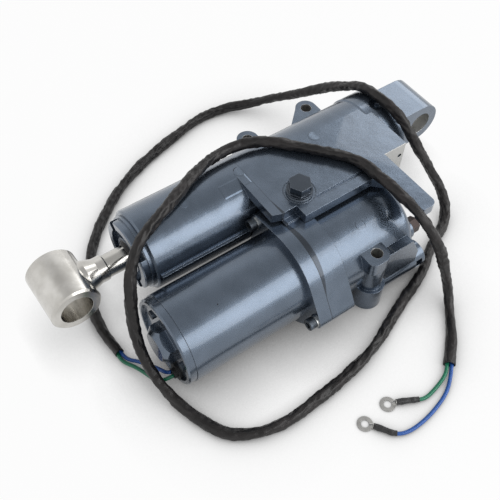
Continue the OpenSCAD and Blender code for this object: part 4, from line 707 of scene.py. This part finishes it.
def soft_light(name, azimuth, elevation, distance, size, power):
    """Rectangular lamp in a direction, in degrees, from the middle of the unit, turned to it.
    Distance and size are in metres and the power is in watts."""
    data = bpy.data.lights.new(name, "AREA")
    data.shape = "RECTANGLE"
    data.size, data.size_y = size
    data.energy = power
    made = bpy.data.objects.new(name, data)
    SCENE.collection.objects.link(made)
    turn, tilt = math.radians(azimuth), math.radians(elevation)
    flat = math.cos(tilt)
    way = Vector((flat * math.cos(turn), flat * math.sin(turn), math.sin(tilt)))
    made.location = Vector((*MIDDLE, 0.0)) + way * distance
    made.rotation_euler = way.to_track_quat("Z", "Y").to_euler()


soft_light("key_light", 128, 34, 1.2, (1.35, 0.80), 8.5)
soft_light("far_fill", -150, 30, 1.6, (0.5, 0.9), 3)


def seen_rays(tree):
    """1 for the rays that see the pale background: straight ones, and ones that metal mirrors."""
    path = tree.nodes.new("ShaderNodeLightPath")
    straight, glossy, through = [Wire(path.outputs[kind], tree) for kind in (
        "Is Camera Ray", "Is Glossy Ray", "Is Transmission Ray")]
    return most(straight, glossy, through)


bpy.ops.mesh.primitive_plane_add(size=30, location=(*MIDDLE, (FOOT - FLOOR_GAP) * MM))
floor = bpy.context.object
floor.name = "studio_floor"
paper, shader, place = finish_of("pale_floor", 0.0, 0.9)
shader.inputs["Specular IOR Level"].default_value = 0.0
blend(grain(place, 3), (0.80, 0.80, 0.80, 1), (0.83, 0.83, 0.83, 1)).into(
    shader.inputs["Base Color"])
# Rays that see the floor see mostly an even glow, which fades in nooks as a soft shadow
tree = paper.node_tree
nook = place.node("AmbientOcclusion", {"samples": 8}, {"Distance": 0.05}, 1)
glow = place.node("Emission", None, {"Color": (1, 1, 1, 1), "Strength": nook ** 1.3})
body = Wire(shader.outputs[0], tree)
mixed = place.node("MixShader", None, {0: seen_rays(tree) * 0.95, 1: body, 2: glow})
mixed.into(tree.nodes["Material Output"].inputs["Surface"])
floor.data.materials.append(paper)

world = bpy.data.worlds.new("studio_world")
SCENE.world = world
world.use_nodes = True
tree = world.node_tree
back = tree.nodes["Background"]
way = Wire(tree.nodes.new("ShaderNodeTexCoord").outputs["Generated"], tree)
climb = way.node("SeparateXYZ", None, {0: way}, 2)
seen = seen_rays(tree)
# White at the horizon and dimmer overhead for those rays, and an even grey for all others
dome = 1.0 - 0.45 * ramp(climb, 0.60, 0.95)
blend(seen, (0.42, 0.42, 0.43, 1), (1, 1, 1, 1)).into(back.inputs["Color"])
(seen * dome + (1.0 - seen)).into(back.inputs["Strength"])

SCENE.view_settings.view_transform = "Standard"
